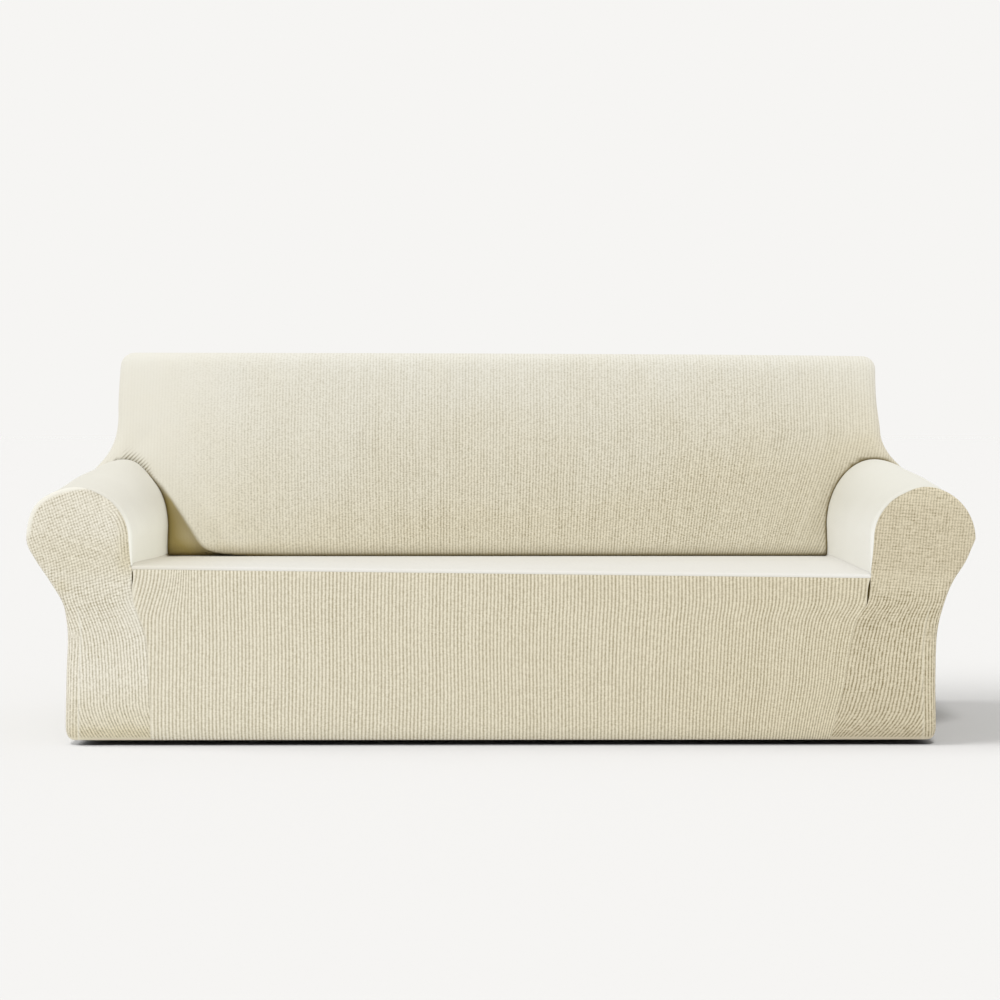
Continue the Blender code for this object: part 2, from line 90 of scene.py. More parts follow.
def smoothLine(places, values, at):
    # soft curve through a short table, without overshooting much
    places = np.asarray(places, float)
    values = np.asarray(values, float)
    slopes = np.gradient(values, places)
    at = np.clip(at, places[0], places[-1])
    index = np.clip(np.searchsorted(places, at, side="right") - 1, 0, len(places) - 2)
    step = places[index + 1] - places[index]
    t = (at - places[index]) / step
    return ((2 * t ** 3 - 3 * t ** 2 + 1) * values[index] + (t ** 3 - 2 * t ** 2 + t) * step * slopes[index]
            + (3 * t ** 2 - 2 * t ** 3) * values[index + 1] + (t ** 3 - t ** 2) * step * slopes[index + 1])


def fromTable(table, key, column, at):
    rows = sorted(table, key=lambda row: row[key])
    return smoothLine([row[key] for row in rows], [row[column] for row in rows], at)


def hemDraw(z):
    down = np.clip((cover["hemHeight"] - z) / cover["hemHeight"], 0.0, 1.0)
    return cover["hemDraw"] * (1.0 - np.sqrt(np.maximum(0.0, 1.0 - cover["hemTurn"] * down * down)))


def roundDrop(distance, radius):
    # how far a rounded edge falls back at a distance in from it
    rest = np.clip(radius - np.maximum(distance, 0.0), 0.0, radius)
    return radius - np.sqrt(np.maximum(0.0, radius * radius - rest * rest))


def fromEdges(beside, under, radius):
    # distance in from the side or the top edge, whichever is nearer, and round their corner
    corner = radius - np.hypot(np.maximum(radius - beside, 0.0), np.maximum(radius - under, 0.0))
    return np.where((beside < radius) & (under < radius), corner, np.minimum(beside, under))


def cornerHalf(full, under, radius):
    # half width at a distance under the top edge, drawn in where the corner rounds
    rest = np.clip(radius - under, 0.0, radius)
    return full - radius + np.sqrt(np.maximum(0.0, radius * radius - rest * rest))


def ribCrown(line):
    return 1.0 - np.abs(np.mod(line, 1.0) * 2.0 - 1.0) ** 2


def slowWaves(a, b, waves):
    # a few long crossing waves: how unevenly hand-pulled cloth lies
    total = np.zeros(np.broadcast(a, b).shape)
    for wave in waves:
        turn = math.radians(wave["turn"])
        along = a * math.cos(turn) + b * math.sin(turn)
        total = total + wave["height"] * np.sin(2.0 * math.pi * along / wave["length"] + wave["start"])
    return total


def evenlyAlong(points, count):
    # points spaced evenly along a line of points; further columns are carried along
    points = np.asarray(points, float)
    steps = np.hypot(*np.diff(points[:, :2], axis=0).T)
    run = np.concatenate([[0.0], np.cumsum(steps)])
    at = np.linspace(0.0, run[-1], count)
    return np.stack([np.interp(at, run, column) for column in points.T], axis=1)


def awayFromLine(x, z, line):
    # shortest distance from each point to a line of points
    best = np.full(x.shape, np.inf)
    for start, run in zip(line[:-1], np.diff(line, axis=0)):
        share = np.clip(((x - start[0]) * run[0] + (z - start[1]) * run[1]) / (run @ run), 0.0, 1.0)
        best = np.minimum(best, np.hypot(x - start[0] - share * run[0], z - start[1] - share * run[1]))
    return best


def unitRows(vectors):
    lengths = np.linalg.norm(vectors, axis=1, keepdims=True)
    return vectors / np.maximum(lengths, 1e-9)


def flatRows(*columns):
    # separate grids of numbers as one list of points
    return np.stack(columns, axis=-1).reshape(-1, len(columns))


# cloth sheets as meshes

def gridQuads(rows, columns):
    index = np.arange(rows * columns).reshape(rows, columns)
    return np.stack([index[:-1, :-1], index[:-1, 1:], index[1:, 1:], index[1:, :-1]], axis=-1).reshape(-1, 4)


def stripQuads(one, other):
    # faces between two rows of points
    return np.stack([one[:-1], one[1:], other[1:], other[:-1]], axis=1)


def trimmed(points, uv, extras, quads, outside):
    # drop what lies inside a neighbour and pull the ragged rim onto the seam line
    diagonalCost = 0.02  # a diagonal pulls only where no edge does
    inside = outside < 0.0
    keep = ~inside[quads].all(axis=1)
    quads = quads[keep]
    edges = ([0, 1], [1, 2], [2, 3], [3, 0], [0, 2], [1, 3])
    pairs = np.concatenate([quads[:, edge] for edge in edges])
    cost = np.concatenate([np.zeros(4 * len(quads)), np.full(2 * len(quads), diagonalCost)])
    pairs = np.concatenate([pairs, pairs[:, ::-1]])
    cost = np.concatenate([cost, cost])
    crossing = inside[pairs[:, 0]] & ~inside[pairs[:, 1]]
    pairs = pairs[crossing]
    cost = cost[crossing]
    share = outside[pairs[:, 0]] / (outside[pairs[:, 0]] - outside[pairs[:, 1]])
    length = np.linalg.norm(points[pairs[:, 1]] - points[pairs[:, 0]], axis=1)
    order = np.argsort(-(share * length + cost))  # the shortest pull is written last
    pairs = pairs[order]
    share = share[order][:, None]
    movedPoints = points.copy()
    movedUv = uv.copy()
    movedPoints[pairs[:, 0]] = points[pairs[:, 0]] * (1 - share) + points[pairs[:, 1]] * share
    movedUv[pairs[:, 0]] = uv[pairs[:, 0]] * (1 - share) + uv[pairs[:, 1]] * share
    used = np.unique(quads)
    renumber = np.full(len(points), -1)
    renumber[used] = np.arange(len(used))
    return movedPoints[used], movedUv[used], {k: v[used] for k, v in extras.items()}, renumber[quads]


def layCloth(name, points, uv, quads, outward, thickness, extras, material):
    # one sheet with its own UV in metres or ribs, given its thickness inwards
    corners = points[quads]
    normals = np.cross(corners[:, 2] - corners[:, 0], corners[:, 3] - corners[:, 1])
    area = 0.5 * np.linalg.norm(normals, axis=1).sum()
    if (normals @ np.asarray(outward)).sum() < 0.0:
        quads = quads[:, ::-1]
    mesh = bpy.data.meshes.new(name)
    mesh.from_pydata(points.tolist(), [], quads.tolist())
    layer = mesh.uv_layers.new(name="clothLines")
    loopVerts = np.empty(len(mesh.loops), dtype=np.int32)
    mesh.loops.foreach_get("vertex_index", loopVerts)
    layer.data.foreach_set("uv", uv[loopVerts].astype(np.float32).ravel())
    for key, values in extras.items():
        attribute = mesh.attributes.new(key, "FLOAT", "POINT")
        attribute.data.foreach_set("value", values.astype(np.float32))
    mesh.polygons.foreach_set("use_smooth", np.ones(len(mesh.polygons), dtype=bool))
    mesh.validate()
    mesh.update()
    mesh.materials.append(material)
    made = bpy.data.objects.new(name, mesh)
    bpy.context.collection.objects.link(made)
    solidify = made.modifiers.new("cloth thickness", "SOLIDIFY")
    solidify.thickness = thickness
    solidify.offset = -1.0
    solidify.use_even_offset = False
    print(f"{name}: {len(quads)} faces, {area:.3f} square metres of cloth")
    return made, area


# shader maths: a socket that can be added, multiplied and so on

class Wire:
    def __init__(self, shader, socket):
        self.shader = shader
        self.socket = socket

    def __add__(self, other):
        return self.shader.math("ADD", self, other)

    __radd__ = __add__

    def __sub__(self, other):
        return self.shader.math("SUBTRACT", self, other)

    def __rsub__(self, other):
        return self.shader.math("SUBTRACT", other, self)

    def __mul__(self, other):
        return self.shader.math("MULTIPLY", self, other)

    __rmul__ = __mul__

    def __truediv__(self, other):
        return self.shader.math("DIVIDE", self, other)

    def __rtruediv__(self, other):
        return self.shader.math("DIVIDE", other, self)

    def __pow__(self, other):
        return self.shader.math("POWER", self, other)


# what all knits share
knit = {
    "sheenRoughness": 0.6,
    "specular": 0.2,
    "noiseRoughness": 0.55,
    "streakStep": 0.73,  # from rib to rib in the noise of the streaks
    "ribGrain": 0.5,
    "columnSharpness": 1.5,
    "roundSharpness": 2.0,
}


class ClothShader:
    def __init__(self, name, look):
        self.look = look
        self.material = bpy.data.materials.new(name)
        self.material.use_nodes = True
        self.tree = self.material.node_tree
        self.surface = self.tree.nodes["Principled BSDF"]
        self.surface.inputs["Roughness"].default_value = look["roughness"]
        self.surface.inputs["Sheen Weight"].default_value = look["sheen"]
        self.surface.inputs["Sheen Roughness"].default_value = knit["sheenRoughness"]
        self.surface.inputs["Specular IOR Level"].default_value = knit["specular"]

    def node(self, kind, settings=None, values=None, out=0):
        made = self.tree.nodes.new(kind)
        for key, value in (settings or {}).items():
            setattr(made, key, value)
        for key, value in (values or {}).items():
            if isinstance(value, Wire):
                self.tree.links.new(value.socket, made.inputs[key])
            else:
                made.inputs[key].default_value = value
        return Wire(self, made.outputs[out])

    def math(self, operation, *values):
        return self.node("ShaderNodeMath", {"operation": operation}, dict(enumerate(values)))

    def limit(self, value):
        return self.node("ShaderNodeMath", {"operation": "ADD", "use_clamp": True}, {0: value, 1: 0.0})

    def mix(self, factor, low, high):
        return self.node("ShaderNodeMix", {"data_type": "RGBA"}, {0: factor, 6: low, 7: high}, 2)

    def places(self):
        return self.node("ShaderNodeTexCoord", None, None, "Object")

    def apart(self, vector):
        split = self.node("ShaderNodeSeparateXYZ", None, {0: vector})
        return [Wire(self, output) for output in split.socket.node.outputs]

    def clothLines(self):
        across, along, _ = self.apart(self.node("ShaderNodeUVMap", {"uv_map": "clothLines"}))
        return across, along

    def join(self, x, y):
        return self.node("ShaderNodeCombineXYZ", None, {0: x, 1: y})

    def noise(self, vector, scale, detail=2.0):
        return self.node("ShaderNodeTexNoise", None, {"Vector": vector, "Scale": scale, "Detail": detail,
                                                      "Roughness": knit["noiseRoughness"]})

    def uneven(self, vector, scale, amount):
        # slow changes to both sides of 0
        return (self.noise(vector, scale) - 0.5) * amount

    def spread(self, value, amount):
        # a noise of 0 to 1 as a factor round 1
        return value * (2.0 * amount) + (1.0 - amount)

    def grain(self, spot):
        # uneven single loops: short flecks, wider than high
        values = {0: spot, 1: self.look["grainFiner"]}
        return self.noise(self.node("ShaderNodeVectorMath", {"operation": "MULTIPLY"}, values), 1.0) - 0.5

    def weight(self, name):
        return self.node("ShaderNodeAttribute", {"attribute_name": name}, None, "Fac")

    def valley(self, line, sharpness):
        # 0 on the crown of a rib, 1 in the groove between two
        return self.math("ABSOLUTE", self.math("FRACT", line) * 2.0 - 1.0) ** sharpness

    def toned(self, spot):
        # the sheet's tone from pale to deep, a little mottled; it carries each sheet's painted light falloff
        # and painted shade
        tone = self.weight("tone")
        return self.limit(tone + self.uneven(spot, self.look["mottleScale"], self.look["mottle"]))

    # crowns and grooves, each from pale to deep; the darker grooves are painted shade
    def grooved(self, depth, tone):
        look = self.look
        return self.mix(depth, self.mix(tone, look["paleCrown"], look["deepCrown"]),
                        self.mix(tone, look["paleGroove"], look["deepGroove"]))

    def fuzz(self, spot):
        return self.noise(spot, self.look["fuzzScale"], 1.0) * self.look["fuzz"]

    def finish(self, colour, height):
        # painted shade in the creases last, then the relief
        colour = self.mix(self.weight("creaseShade"), colour, self.look["creaseShade"])
        self.tree.links.new(colour.socket, self.surface.inputs["Base Color"])
        bump = self.node("ShaderNodeBump", None, {"Strength": self.look["bump"], "Height": height,
                                                  "Distance": self.look["ribHeight"]})
        self.tree.links.new(bump.socket, self.surface.inputs["Normal"])
        return self.material


def tint(red, green, blue):
    # a colour as seen on screen, 0 to 255, as the linear colour that a shader takes
    return tuple(((c / 255.0 + 0.055) / 1.055) ** 2.4 for c in (red, green, blue)) + (1.0,)


# what the looks share: the coarse yarn, with its ribs where it has them, and the smooth one
coarseYarn = {
    # colour of the painted shade in the creases
    "creaseShade": tint(108, 92, 44),
    "fuzzScale": 900.0,
    "fuzz": 0.25,
    "roughness": 0.93,
    "sheen": 0.12,
}
ribbedYarn = {
    **coarseYarn,
    "stitch": 0.0050,
    "beadShade": 0.04,
    "beadBump": 0.3,
    "flatBump": 0.2,  # what is left of the relief where the ribs are pulled flat
}
smoothYarn = {
    # colour of the painted shade in the creases
    "creaseShade": tint(120, 108, 68),
    "finePitch": 0.0026,
    "fineShade": 0.14,
    "fineBump": 0.35,
    "loopBump": 0.08,
    "fuzzScale": 700.0,
    "fuzz": 0.25,
    "roughness": 0.90,
    "sheen": 0.10,
    "bump": 0.16,
    "ribHeight": 0.0004,
}


def ribbedKnit(name, look):
    # ribs follow the sheet's own lines: UV x counts ribs, UV y is metres along them
    shader = ClothShader(name, look)
    across, along = shader.clothLines()
    spot = shader.places()
    line = across + shader.uneven(spot, look["wobbleScale"], look["wobble"])
    rib = shader.math("FLOOR", line)
    # each rib has its own streaks
    streak = shader.noise(shader.join(rib * knit["streakStep"], along * look["streakRate"]), 1.0)
    grain = shader.grain(spot)
    groove = shader.valley(line, look["grooveSharpness"])
    bead = shader.valley(along / look["stitch"] + rib * 0.5, knit["roundSharpness"])
    show = shader.weight("ribsShow")
    depth = groove * shader.spread(streak, look["streak"]) * show
    loops = (bead * look["beadShade"] + grain * look["grainShade"]) * shader.weight("loops")
    colour = shader.grooved(shader.limit(depth + loops), shader.toned(spot))
    if "tuck" in look:
        # painted shade on the cloth behind the tuck's edge, and in the small folds of the gathers on the left
        # roll
        tuck = look["tuck"]
        x, _, z = shader.apart(spot)
        behind = shader.limit(shader.weight("tuckPast") / tuck["edgeSoft"]) * shader.weight("tuckShade")
        colour = shader.mix(behind, colour, tuck["tint"])
        pleat = shader.valley((x - z) / puckerShape["pitch"], knit["roundSharpness"])
        pleat = pleat * shader.weight("gathers")
        colour = shader.mix(shader.limit(pleat), colour, look["creaseShade"])
    relief = (1.0 - groove - bead * look["beadBump"]) * (show * (1.0 - look["flatBump"]) + look["flatBump"])
    return shader.finish(colour, relief + shader.fuzz(spot) - grain * knit["ribGrain"])


def smoothKnit(name, look):
    # fine plain knit: small columns of loops, nearly flat
    shader = ClothShader(name, look)
    across, along = shader.clothLines()
    spot = shader.places()
    fine = shader.valley(across / look["finePitch"], knit["columnSharpness"])
    loops = shader.math("SINE", along * (2.0 * math.pi / look["finePitch"]) + fine * 2.0)
    colour = shader.mix(shader.toned(spot), look["pale"], look["deep"])
    # painted shade between the fine columns
    colour = shader.mix(fine * look["fineShade"], colour, look["groove"])
    height = 1.0 - fine * look["fineBump"] + loops * look["loopBump"] + shader.fuzz(spot)
    if "ribbed" in look:
        # outside of the arm: the ribs of the front carry on round the corner, with painted shade in their
        # grooves
        ribbed = look["ribbed"]
        lines = shader.valley(across / ribbed["pitch"], knit["roundSharpness"]) * ribbed["lineShade"]
        bars = shader.valley(along / ribbed["pitch"], knit["roundSharpness"]) * ribbed["barShade"]
        grid = shader.limit(bars + lines)
        where = shader.weight("ribbed")
        colour = shader.mix(where, colour, shader.mix(grid, ribbed["crown"], ribbed["groove"]))
        height = height * (1.0 - where) + (1.0 - grid * 2.0) * where
    return shader.finish(colour, height)


def waffleKnit(name, look):
    # ribs crossed by fainter bars; near the wall side the ribs run along the rim
    shader = ClothShader(name, look)
    across, along = shader.clothLines()
    spot = shader.places()
    wobble = shader.uneven(spot, look["wobbleScale"], look["wobble"])
    onRim = shader.weight("rimShare")
    x, _, z = shader.apart(spot)
    patch = shader.noise(spot, look["patchScale"], 3.0)
    slub = shader.noise(shader.join(x * look["slubRates"][0], z * look["slubRates"][1]), 1.0)
    ribs = shader.valley(across + wobble, look["grooveSharpness"]) * (1.0 - onRim)
    ribs = ribs + shader.valley(shader.weight("rimLine"), look["grooveSharpness"]) * onRim
    bars = shader.valley(along + wobble * look["barWobble"], look["grooveSharpness"]) * shader.weight("bars")
    bars = bars * (1.0 - onRim * look["rimLoss"]) * shader.spread(slub, look["slub"])
    grain = shader.grain(spot)
    grid = ribs * shader.weight("ribShade") + bars * look["barShade"]
    grid = grid * shader.spread(patch, look["patch"]) + grain * look["grainShade"]
    raised = 1.0 - shader.weight("plainBand")
    grid = shader.limit((grid + (slub - 0.5) * look["slubShade"]) * raised)
    colour = shader.grooved(grid, shader.toned(spot))
    # paler on the plain band along the rim, and in painted highlights along the strip's line and beside the
    # notch
    colour = shader.mix(shader.weight("paleBandAndHighlight"), colour, look["band"])
    height = 1.0 - ribs * look["ribDepth"] - bars * look["barDepth"]
    height = height + shader.fuzz(spot) - grain * look["grainDepth"]
    return shader.finish(colour, height * raised)


# arms: one profile over the roll, used by the arm panels, the fronts and the trimming of the back
armShape = {
    "rollX": 0.978,
    "rollZ": 0.466,
    "rollRadius": 0.122,
    "rollLift": 0.46,  # how much higher the roll runs towards the back
    "liftFromY": -0.42,
    "liftToY": 0.20,
    # both shoulders are a little fuller, and so is the top of the left disc (its place in degrees)
    "shoulder": {"puff": 0.010, "from": (-0.40, 0.15), "to": (0.03, -0.15),
                 "leftDisc": 0.006, "leftAt": (39.0, 20.0), "leftTo": (0.03, -0.1)},
    # the gathers at the back pull the top of the left roll down
    "pulledDown": {"at": (0.900, 0.036), "depth": 0.014, "fromY": -0.05, "toY": 0.20},
    "wallFrontX": 0.855,
    "wallRearX": {"left": 0.862, "right": 0.847},
    "wallRearY": 0.166,
    "footLift": 0.00005,
    "sideX": {"left": 1.011, "right": 1.010},
    "underRoll": (
        {"z": 0.500, "left": 1.0967, "right": 1.0955},
        {"z": 0.466, "left": 1.1000, "right": 1.1000},
        {"z": 0.452, "left": 1.0970, "right": 1.0940},
        {"z": 0.415, "left": 1.0770, "right": 1.0780},
        {"z": 0.365, "left": 1.0440, "right": 1.0470},
        {"z": 0.313, "left": 1.0150, "right": 1.0270},
        {"z": 0.275, "left": 1.0080, "right": 1.0170},
        {"z": 0.150, "left": 1.0090, "right": 1.0090},
        {"z": 0.032, "left": 1.0110, "right": 1.0100},
        {"z": 0.000, "left": 1.0110, "right": 1.0100},
    ),
    # points along the profile
    "wallPoints": 14,
    "rollPoints": 64,
    "sidePoints": 46,
    "hemPoints": 12,
}

seatShape = {
    "tilt": 0.0105,  # the front edge is higher on the left, lower on the right
    "tiltEndY": 0.10,
    "tiltFootZ": 0.313,
    "edgeRadius": 0.006,
    "edgeFall": 0.00225,
    "rearY": 0.186,  # runs on under the back, as far as the tuck reaches
    "dish": 0.003,
    "sideCurl": 0.006,  # the deck turns up into the arms
    "sideCurlFront": 0.0006,
    "curlFromY": 0.008,
    "curlOver": 0.030,
}


def wallX(side, y):
    along = between(y, cover["frontY"], armShape["wallRearY"])
    return armShape["wallFrontX"] + (armShape["wallRearX"][side] - armShape["wallFrontX"]) * along


def seatLift(x, y):
    fading = 1.0 - between(y, cover["frontY"], seatShape["tiltEndY"])
    return -seatShape["tilt"] * x / armShape["wallFrontX"] * fading


def sideCurl(y):
    grown = fade(y - cover["frontY"], (seatShape["curlFromY"], seatShape["curlOver"]))
    return seatShape["sideCurlFront"] + (seatShape["sideCurl"] - seatShape["sideCurlFront"]) * grown


def seamLift(x, z):
    return seatLift(x, cover["frontY"]) * between(z, seatShape["tiltFootZ"], dropShape["topZ"])


def rollLift(y):
    return 1.0 + armShape["rollLift"] * between(y, armShape["liftFromY"], armShape["liftToY"])


def underRoll(side, z):
    return fromTable(armShape["underRoll"], "z", side, z)


def pulledDown(side, x, y):
    pull = armShape["pulledDown"]
    depth = pull["depth"] if side == "left" else 0.0
    return depth * between(y, pull["fromY"], pull["toY"]) * bell(x, *pull["at"])


def armProfile(side, y):
    # outline over the arm at one depth: inner wall, roll, under the roll, hem
    wall = float(wallX(side, y))
    foot = cover["seatZ"] + float(seatLift(sideSign[side] * wall, y) + sideCurl(y)) + armShape["footLift"]
    count = armShape["wallPoints"]
    rising = np.linspace(foot, armShape["rollZ"], count, endpoint=False)
    inner = np.stack([np.full(count, wall), rising], axis=1)
    turn = np.radians(np.linspace(180.0, 0.0, armShape["rollPoints"]))
    inward = np.maximum(0.0, -np.cos(turn))
    x = armShape["rollX"] + armShape["rollRadius"] * np.cos(turn)
    x = x + (wall - (armShape["rollX"] - armShape["rollRadius"])) * inward * inward
    z = armShape["rollZ"] + armShape["rollRadius"] * np.sin(turn) * float(rollLift(y))
    z = z - pulledDown(side, x, y) * np.sin(turn)
    shoulder = armShape["shoulder"]
    grown = float(fade(y, shoulder["from"]) * fade(y, shoulder["to"]))
    puff = shoulder["puff"] * grown * np.where(np.cos(turn) > 0.0, np.sin(2.0 * turn) ** 2, 0.0)
    if side == "left":
        atDisc = (1.0 - grown) * float(fade(y, shoulder["leftTo"]))
        puff = puff + shoulder["leftDisc"] * atDisc * bell(np.degrees(turn), *shoulder["leftAt"])
    roll = np.stack([x + puff * np.cos(turn), z + puff * np.sin(turn)], axis=1)
    z = np.linspace(armShape["rollZ"], cover["hemHeight"], armShape["sidePoints"] + 1)[1:]
    under = np.stack([underRoll(side, z), z], axis=1)
    z = cover["hemHeight"] * (1.0 - np.linspace(0.0, 1.0, armShape["hemPoints"] + 1)[1:])
    hem = np.stack([armShape["sideX"][side] - hemDraw(z), z], axis=1)
    return np.concatenate([inner, roll, under, hem])


def outsideArm(side, points):
    # above 0 outside the arm, measured square to it near its surface
    x = points[:, 0] * sideSign[side]
    y = points[:, 1]
    z = points[:, 2]
    wall = wallX(side, y)
    shift = wall - (armShape["rollX"] - armShape["rollRadius"])
    straight = (armShape["rollX"] - x) / armShape["rollRadius"]
    across = straight
    for _ in range(3):
        across = straight + shift * np.clip(across, 0.0, 1.0) ** 2 / armShape["rollRadius"]
    full = armShape["rollRadius"] * rollLift(y)
    up = (z - armShape["rollZ"]) / (full - pulledDown(side, x, y))
    roll = (np.hypot(across, up) - 1.0) * armShape["rollRadius"]
    return np.where(z > armShape["rollZ"], roll, np.maximum(wall - x, x - underRoll(side, z)))


# inside back with its two side walls and its top
backShape = {
    "creaseY": 0.140,
    "lean": 0.245,
    "edgeRadius": 0.035,
    "curlHeight": 0.036,
    "curlDepth": 0.016,
    "flareFrom": 0.86,
    "rearEdgeY": 0.4297,
    "ribs": 246,
    "columns": 420,
    "cornerColumns": 14,
    "fineRows": 46,
    "fineEasing": 1.15,
    "fineTopZ": 0.625,
    "plainRows": 20,
    "topRows": 7,
    "topGap": 0.012,
    "wallRows": 8,
    "footLift": 0.0008,
    "sides": (
        {"z": 0.300, "left": 0.960, "right": 0.960},
        {"z": 0.400, "left": 1.030, "right": 1.030},
        {"z": 0.500, "left": 1.078, "right": 1.078},
        {"z": 0.550, "left": 1.090, "right": 1.088},
        {"z": 0.575, "left": 1.088, "right": 1.084},
        {"z": 0.615, "left": 1.062, "right": 1.060},
        {"z": 0.655, "left": 1.029, "right": 1.024},
        {"z": 0.694, "left": 1.011, "right": 1.005},
        {"z": 0.735, "left": 1.004, "right": 1.001},
        {"z": 0.790, "left": 1.005, "right": 0.996},
        {"z": 0.930, "left": 1.002, "right": 0.998},
    ),
    "topDip": (
        {"x": -1.00, "dip": 0.000},
        {"x": -0.40, "dip": 0.001},
        {"x": 0.20, "dip": 0.003},
        {"x": 0.70, "dip": 0.006},
        {"x": 1.00, "dip": 0.009},
    ),
    # a slanting fold at the left foot; behind its edge the cloth lies deeper, in painted shade
    "tuck": {"footX": -0.751, "riseX": -0.110, "riseZ": 0.165, "bend": 0.11, "bendRise": 0.042,
             "width": 0.016, "depth": 0.026, "closes": (0.35, 1.0), "edgeSoft": 0.009,
             # colour of the painted shade behind the edge
             "tint": tint(166, 149, 92)},
    "folds": (
        {"x": -0.725, "z": 0.470, "slope": -0.62, "wide": 0.030, "high": 0.070, "depth": -0.006},
        {"x": -0.660, "z": 0.440, "slope": -0.40, "wide": 0.030, "high": 0.045, "depth": 0.003},
        {"x": -0.897, "z": 0.588, "slope": -0.90, "wide": 0.009, "high": 0.018, "depth": -0.006},
        {"x": -0.872, "z": 0.566, "slope": -0.50, "wide": 0.007, "high": 0.020, "depth": -0.004},
        {"x": -0.930, "z": 0.690, "slope": 0.50, "wide": 0.030, "high": 0.040, "depth": 0.004},
        {"x": 0.800, "z": 0.500, "slope": 0.25, "wide": 0.022, "high": 0.080, "depth": -0.005},
        {"x": 0.905, "z": 0.670, "slope": -0.60, "wide": 0.030, "high": 0.040, "depth": 0.004},
        {"x": 0.835, "z": 0.405, "slope": 0.30, "wide": 0.008, "high": 0.012, "depth": -0.004},
        {"x": 0.300, "z": 0.440, "slope": 0.30, "wide": 0.016, "high": 0.035, "depth": 0.002},
        {"x": 0.335, "z": 0.435, "slope": 0.30, "wide": 0.014, "high": 0.035, "depth": -0.002},
    ),
    "waves": (
        {"length": 0.310, "turn": 12.0, "height": 0.0009, "start": 0.4},
        {"length": 0.190, "turn": -24.0, "height": 0.0006, "start": 2.1},
        {"length": 0.120, "turn": 6.0, "height": 0.0003, "start": 4.0},
    ),
    "wavesRise": 0.08,
    "wavesTo": (0.90, -0.05),
    # the knit is pulled smooth and pale at the top left, is deeper in tone to the right and leans there; the
    # paler left and deeper right tone is painted light falloff
    "tones": (
        {"x": -1.00, "tone": 0.40, "ribs": 0.05, "loops": 0.08, "lean": -0.005},
        {"x": -0.90, "tone": 0.42, "ribs": 0.08, "loops": 0.12, "lean": -0.008},
        {"x": -0.81, "tone": 0.45, "ribs": 0.16, "loops": 0.50, "lean": -0.010},
        {"x": -0.65, "tone": 0.58, "ribs": 0.38, "loops": 0.90, "lean": -0.010},
        {"x": -0.39, "tone": 0.74, "ribs": 0.54, "loops": 1.00, "lean": -0.009},
        {"x": 0.00, "tone": 0.92, "ribs": 0.60, "loops": 1.00, "lean": 0.006},
        {"x": 0.39, "tone": 1.06, "ribs": 0.60, "loops": 1.10, "lean": 0.030},
        {"x": 0.65, "tone": 1.24, "ribs": 0.60, "loops": 1.10, "lean": 0.068},
        {"x": 0.81, "tone": 1.08, "ribs": 0.58, "loops": 0.80, "lean": 0.110},
        {"x": 1.00, "tone": 0.98, "ribs": 0.34, "loops": 0.50, "lean": 0.100},
    ),
    "leanZ": 0.72,
    "leanOver": 0.30,
    "leanMost": 1.2,
    "leanPower": 1.3,
    "look": {
        **ribbedYarn,
        "paleCrown": tint(230, 228, 218),
        "paleGroove": tint(172, 165, 140),
        "deepCrown": tint(225, 218, 197),
        "deepGroove": tint(132, 119, 84),
        "grooveSharpness": 1.4,
        "wobbleScale": 40.0,
        "wobble": 0.28,
        "streakRate": 5.0,
        "streak": 0.6,
        "grainFiner": (180.0, 180.0, 360.0),
        "grainShade": 1.45,
        "mottleScale": 7.0,
        "mottle": 0.45,
        "bump": 0.5,
        "ribHeight": 0.0008,
    },
}

# painted shade of the back, in its tones and its creases: windows in x, y or z, strengths, and distances from
# the arms
backShade = {
    "down": (0.915, -0.461),
    "downPower": 0.7,
    "shownPower": 0.6,
    "ribs": (0.40, 0.70),
    "loops": (0.62, 0.45),
    "front": (0.285, -0.03),
    "foot": (0.442, -0.048),
    # painted shade low on the back and at its foot, where the loops also show less
    "footTone": 0.55,
    "footSmooth": 0.7,
    "lowTone": 0.15,
    "low": (0.56, -0.10),
    # painted shade along the right arm
    "rightTone": {"strength": 0.55, "reach": 0.030},
    "rightWideTone": {"strength": 0.25, "reach": 0.11},
    "rightLine": {"strength": 0.95, "width": 0.0035, "z": (0.38, 0.02)},
    "rightHaze": {"strength": 0.22, "reach": 0.014},
    # painted shade along the left arm, and in the small folds of the gathers
    "leftLine": {"strength": 0.95, "width": 0.0045, "widerBelow": (0.60, -0.04),
                 "x": (-0.930, 0.02), "softX": (-0.945, 0.035)},
    "gathers": {"away": 0.004, "width": 0.0085, "from": (-0.990, 0.015), "to": (-0.900, -0.02)},
    # painted shade along the seat, darkest at the foot of the tuck
    "creaseShade": {"strength": 0.62, "z": (0.428, -0.034), "power": 1.7, "aside": 0.55, "at": (-0.70, 0.09)},
    # painted shade in the line along the back's foot
    "seam": {"strength": 0.66, "z": (0.4055, -0.009)},
    # painted shade behind the tuck's edge, deepest beside the arm, where the ribs are also smoothed
    "tuck": {"from": 0.50, "atArm": 0.70, "armReach": 0.06, "foot": 0.30, "edge": 0.02,
             "risen": 0.55, "rise": 0.35, "z": (0.585, -0.05)},
    "tuckDeepShade": {"strength": 0.55, "reach": 0.022, "z": (0.56, -0.06)},
    "tuckSmooth": {"strength": 0.7, "behind": (-0.01, 0.01), "topZ": 0.57},
    "most": 1.8,
}


def topEdge(x):
    return cover["topZ"] - fromTable(backShape["topDip"], "x", "dip", x)


def backSide(x, z):
    return np.where(x < 0.0, fromTable(backShape["sides"], "z", "left", z),
                    fromTable(backShape["sides"], "z", "right", z))


def pastTuck(x, z):
    # how far a point lies behind the tuck's slanting edge, and how far up that edge it is
    tuck = backShape["tuck"]
    rise = (z - cover["seatZ"]) / tuck["riseZ"]
    bend = tuck["bend"] * near(rise, tuck["bendRise"])
    return tuck["footX"] + tuck["riseX"] * rise + bend - x, rise


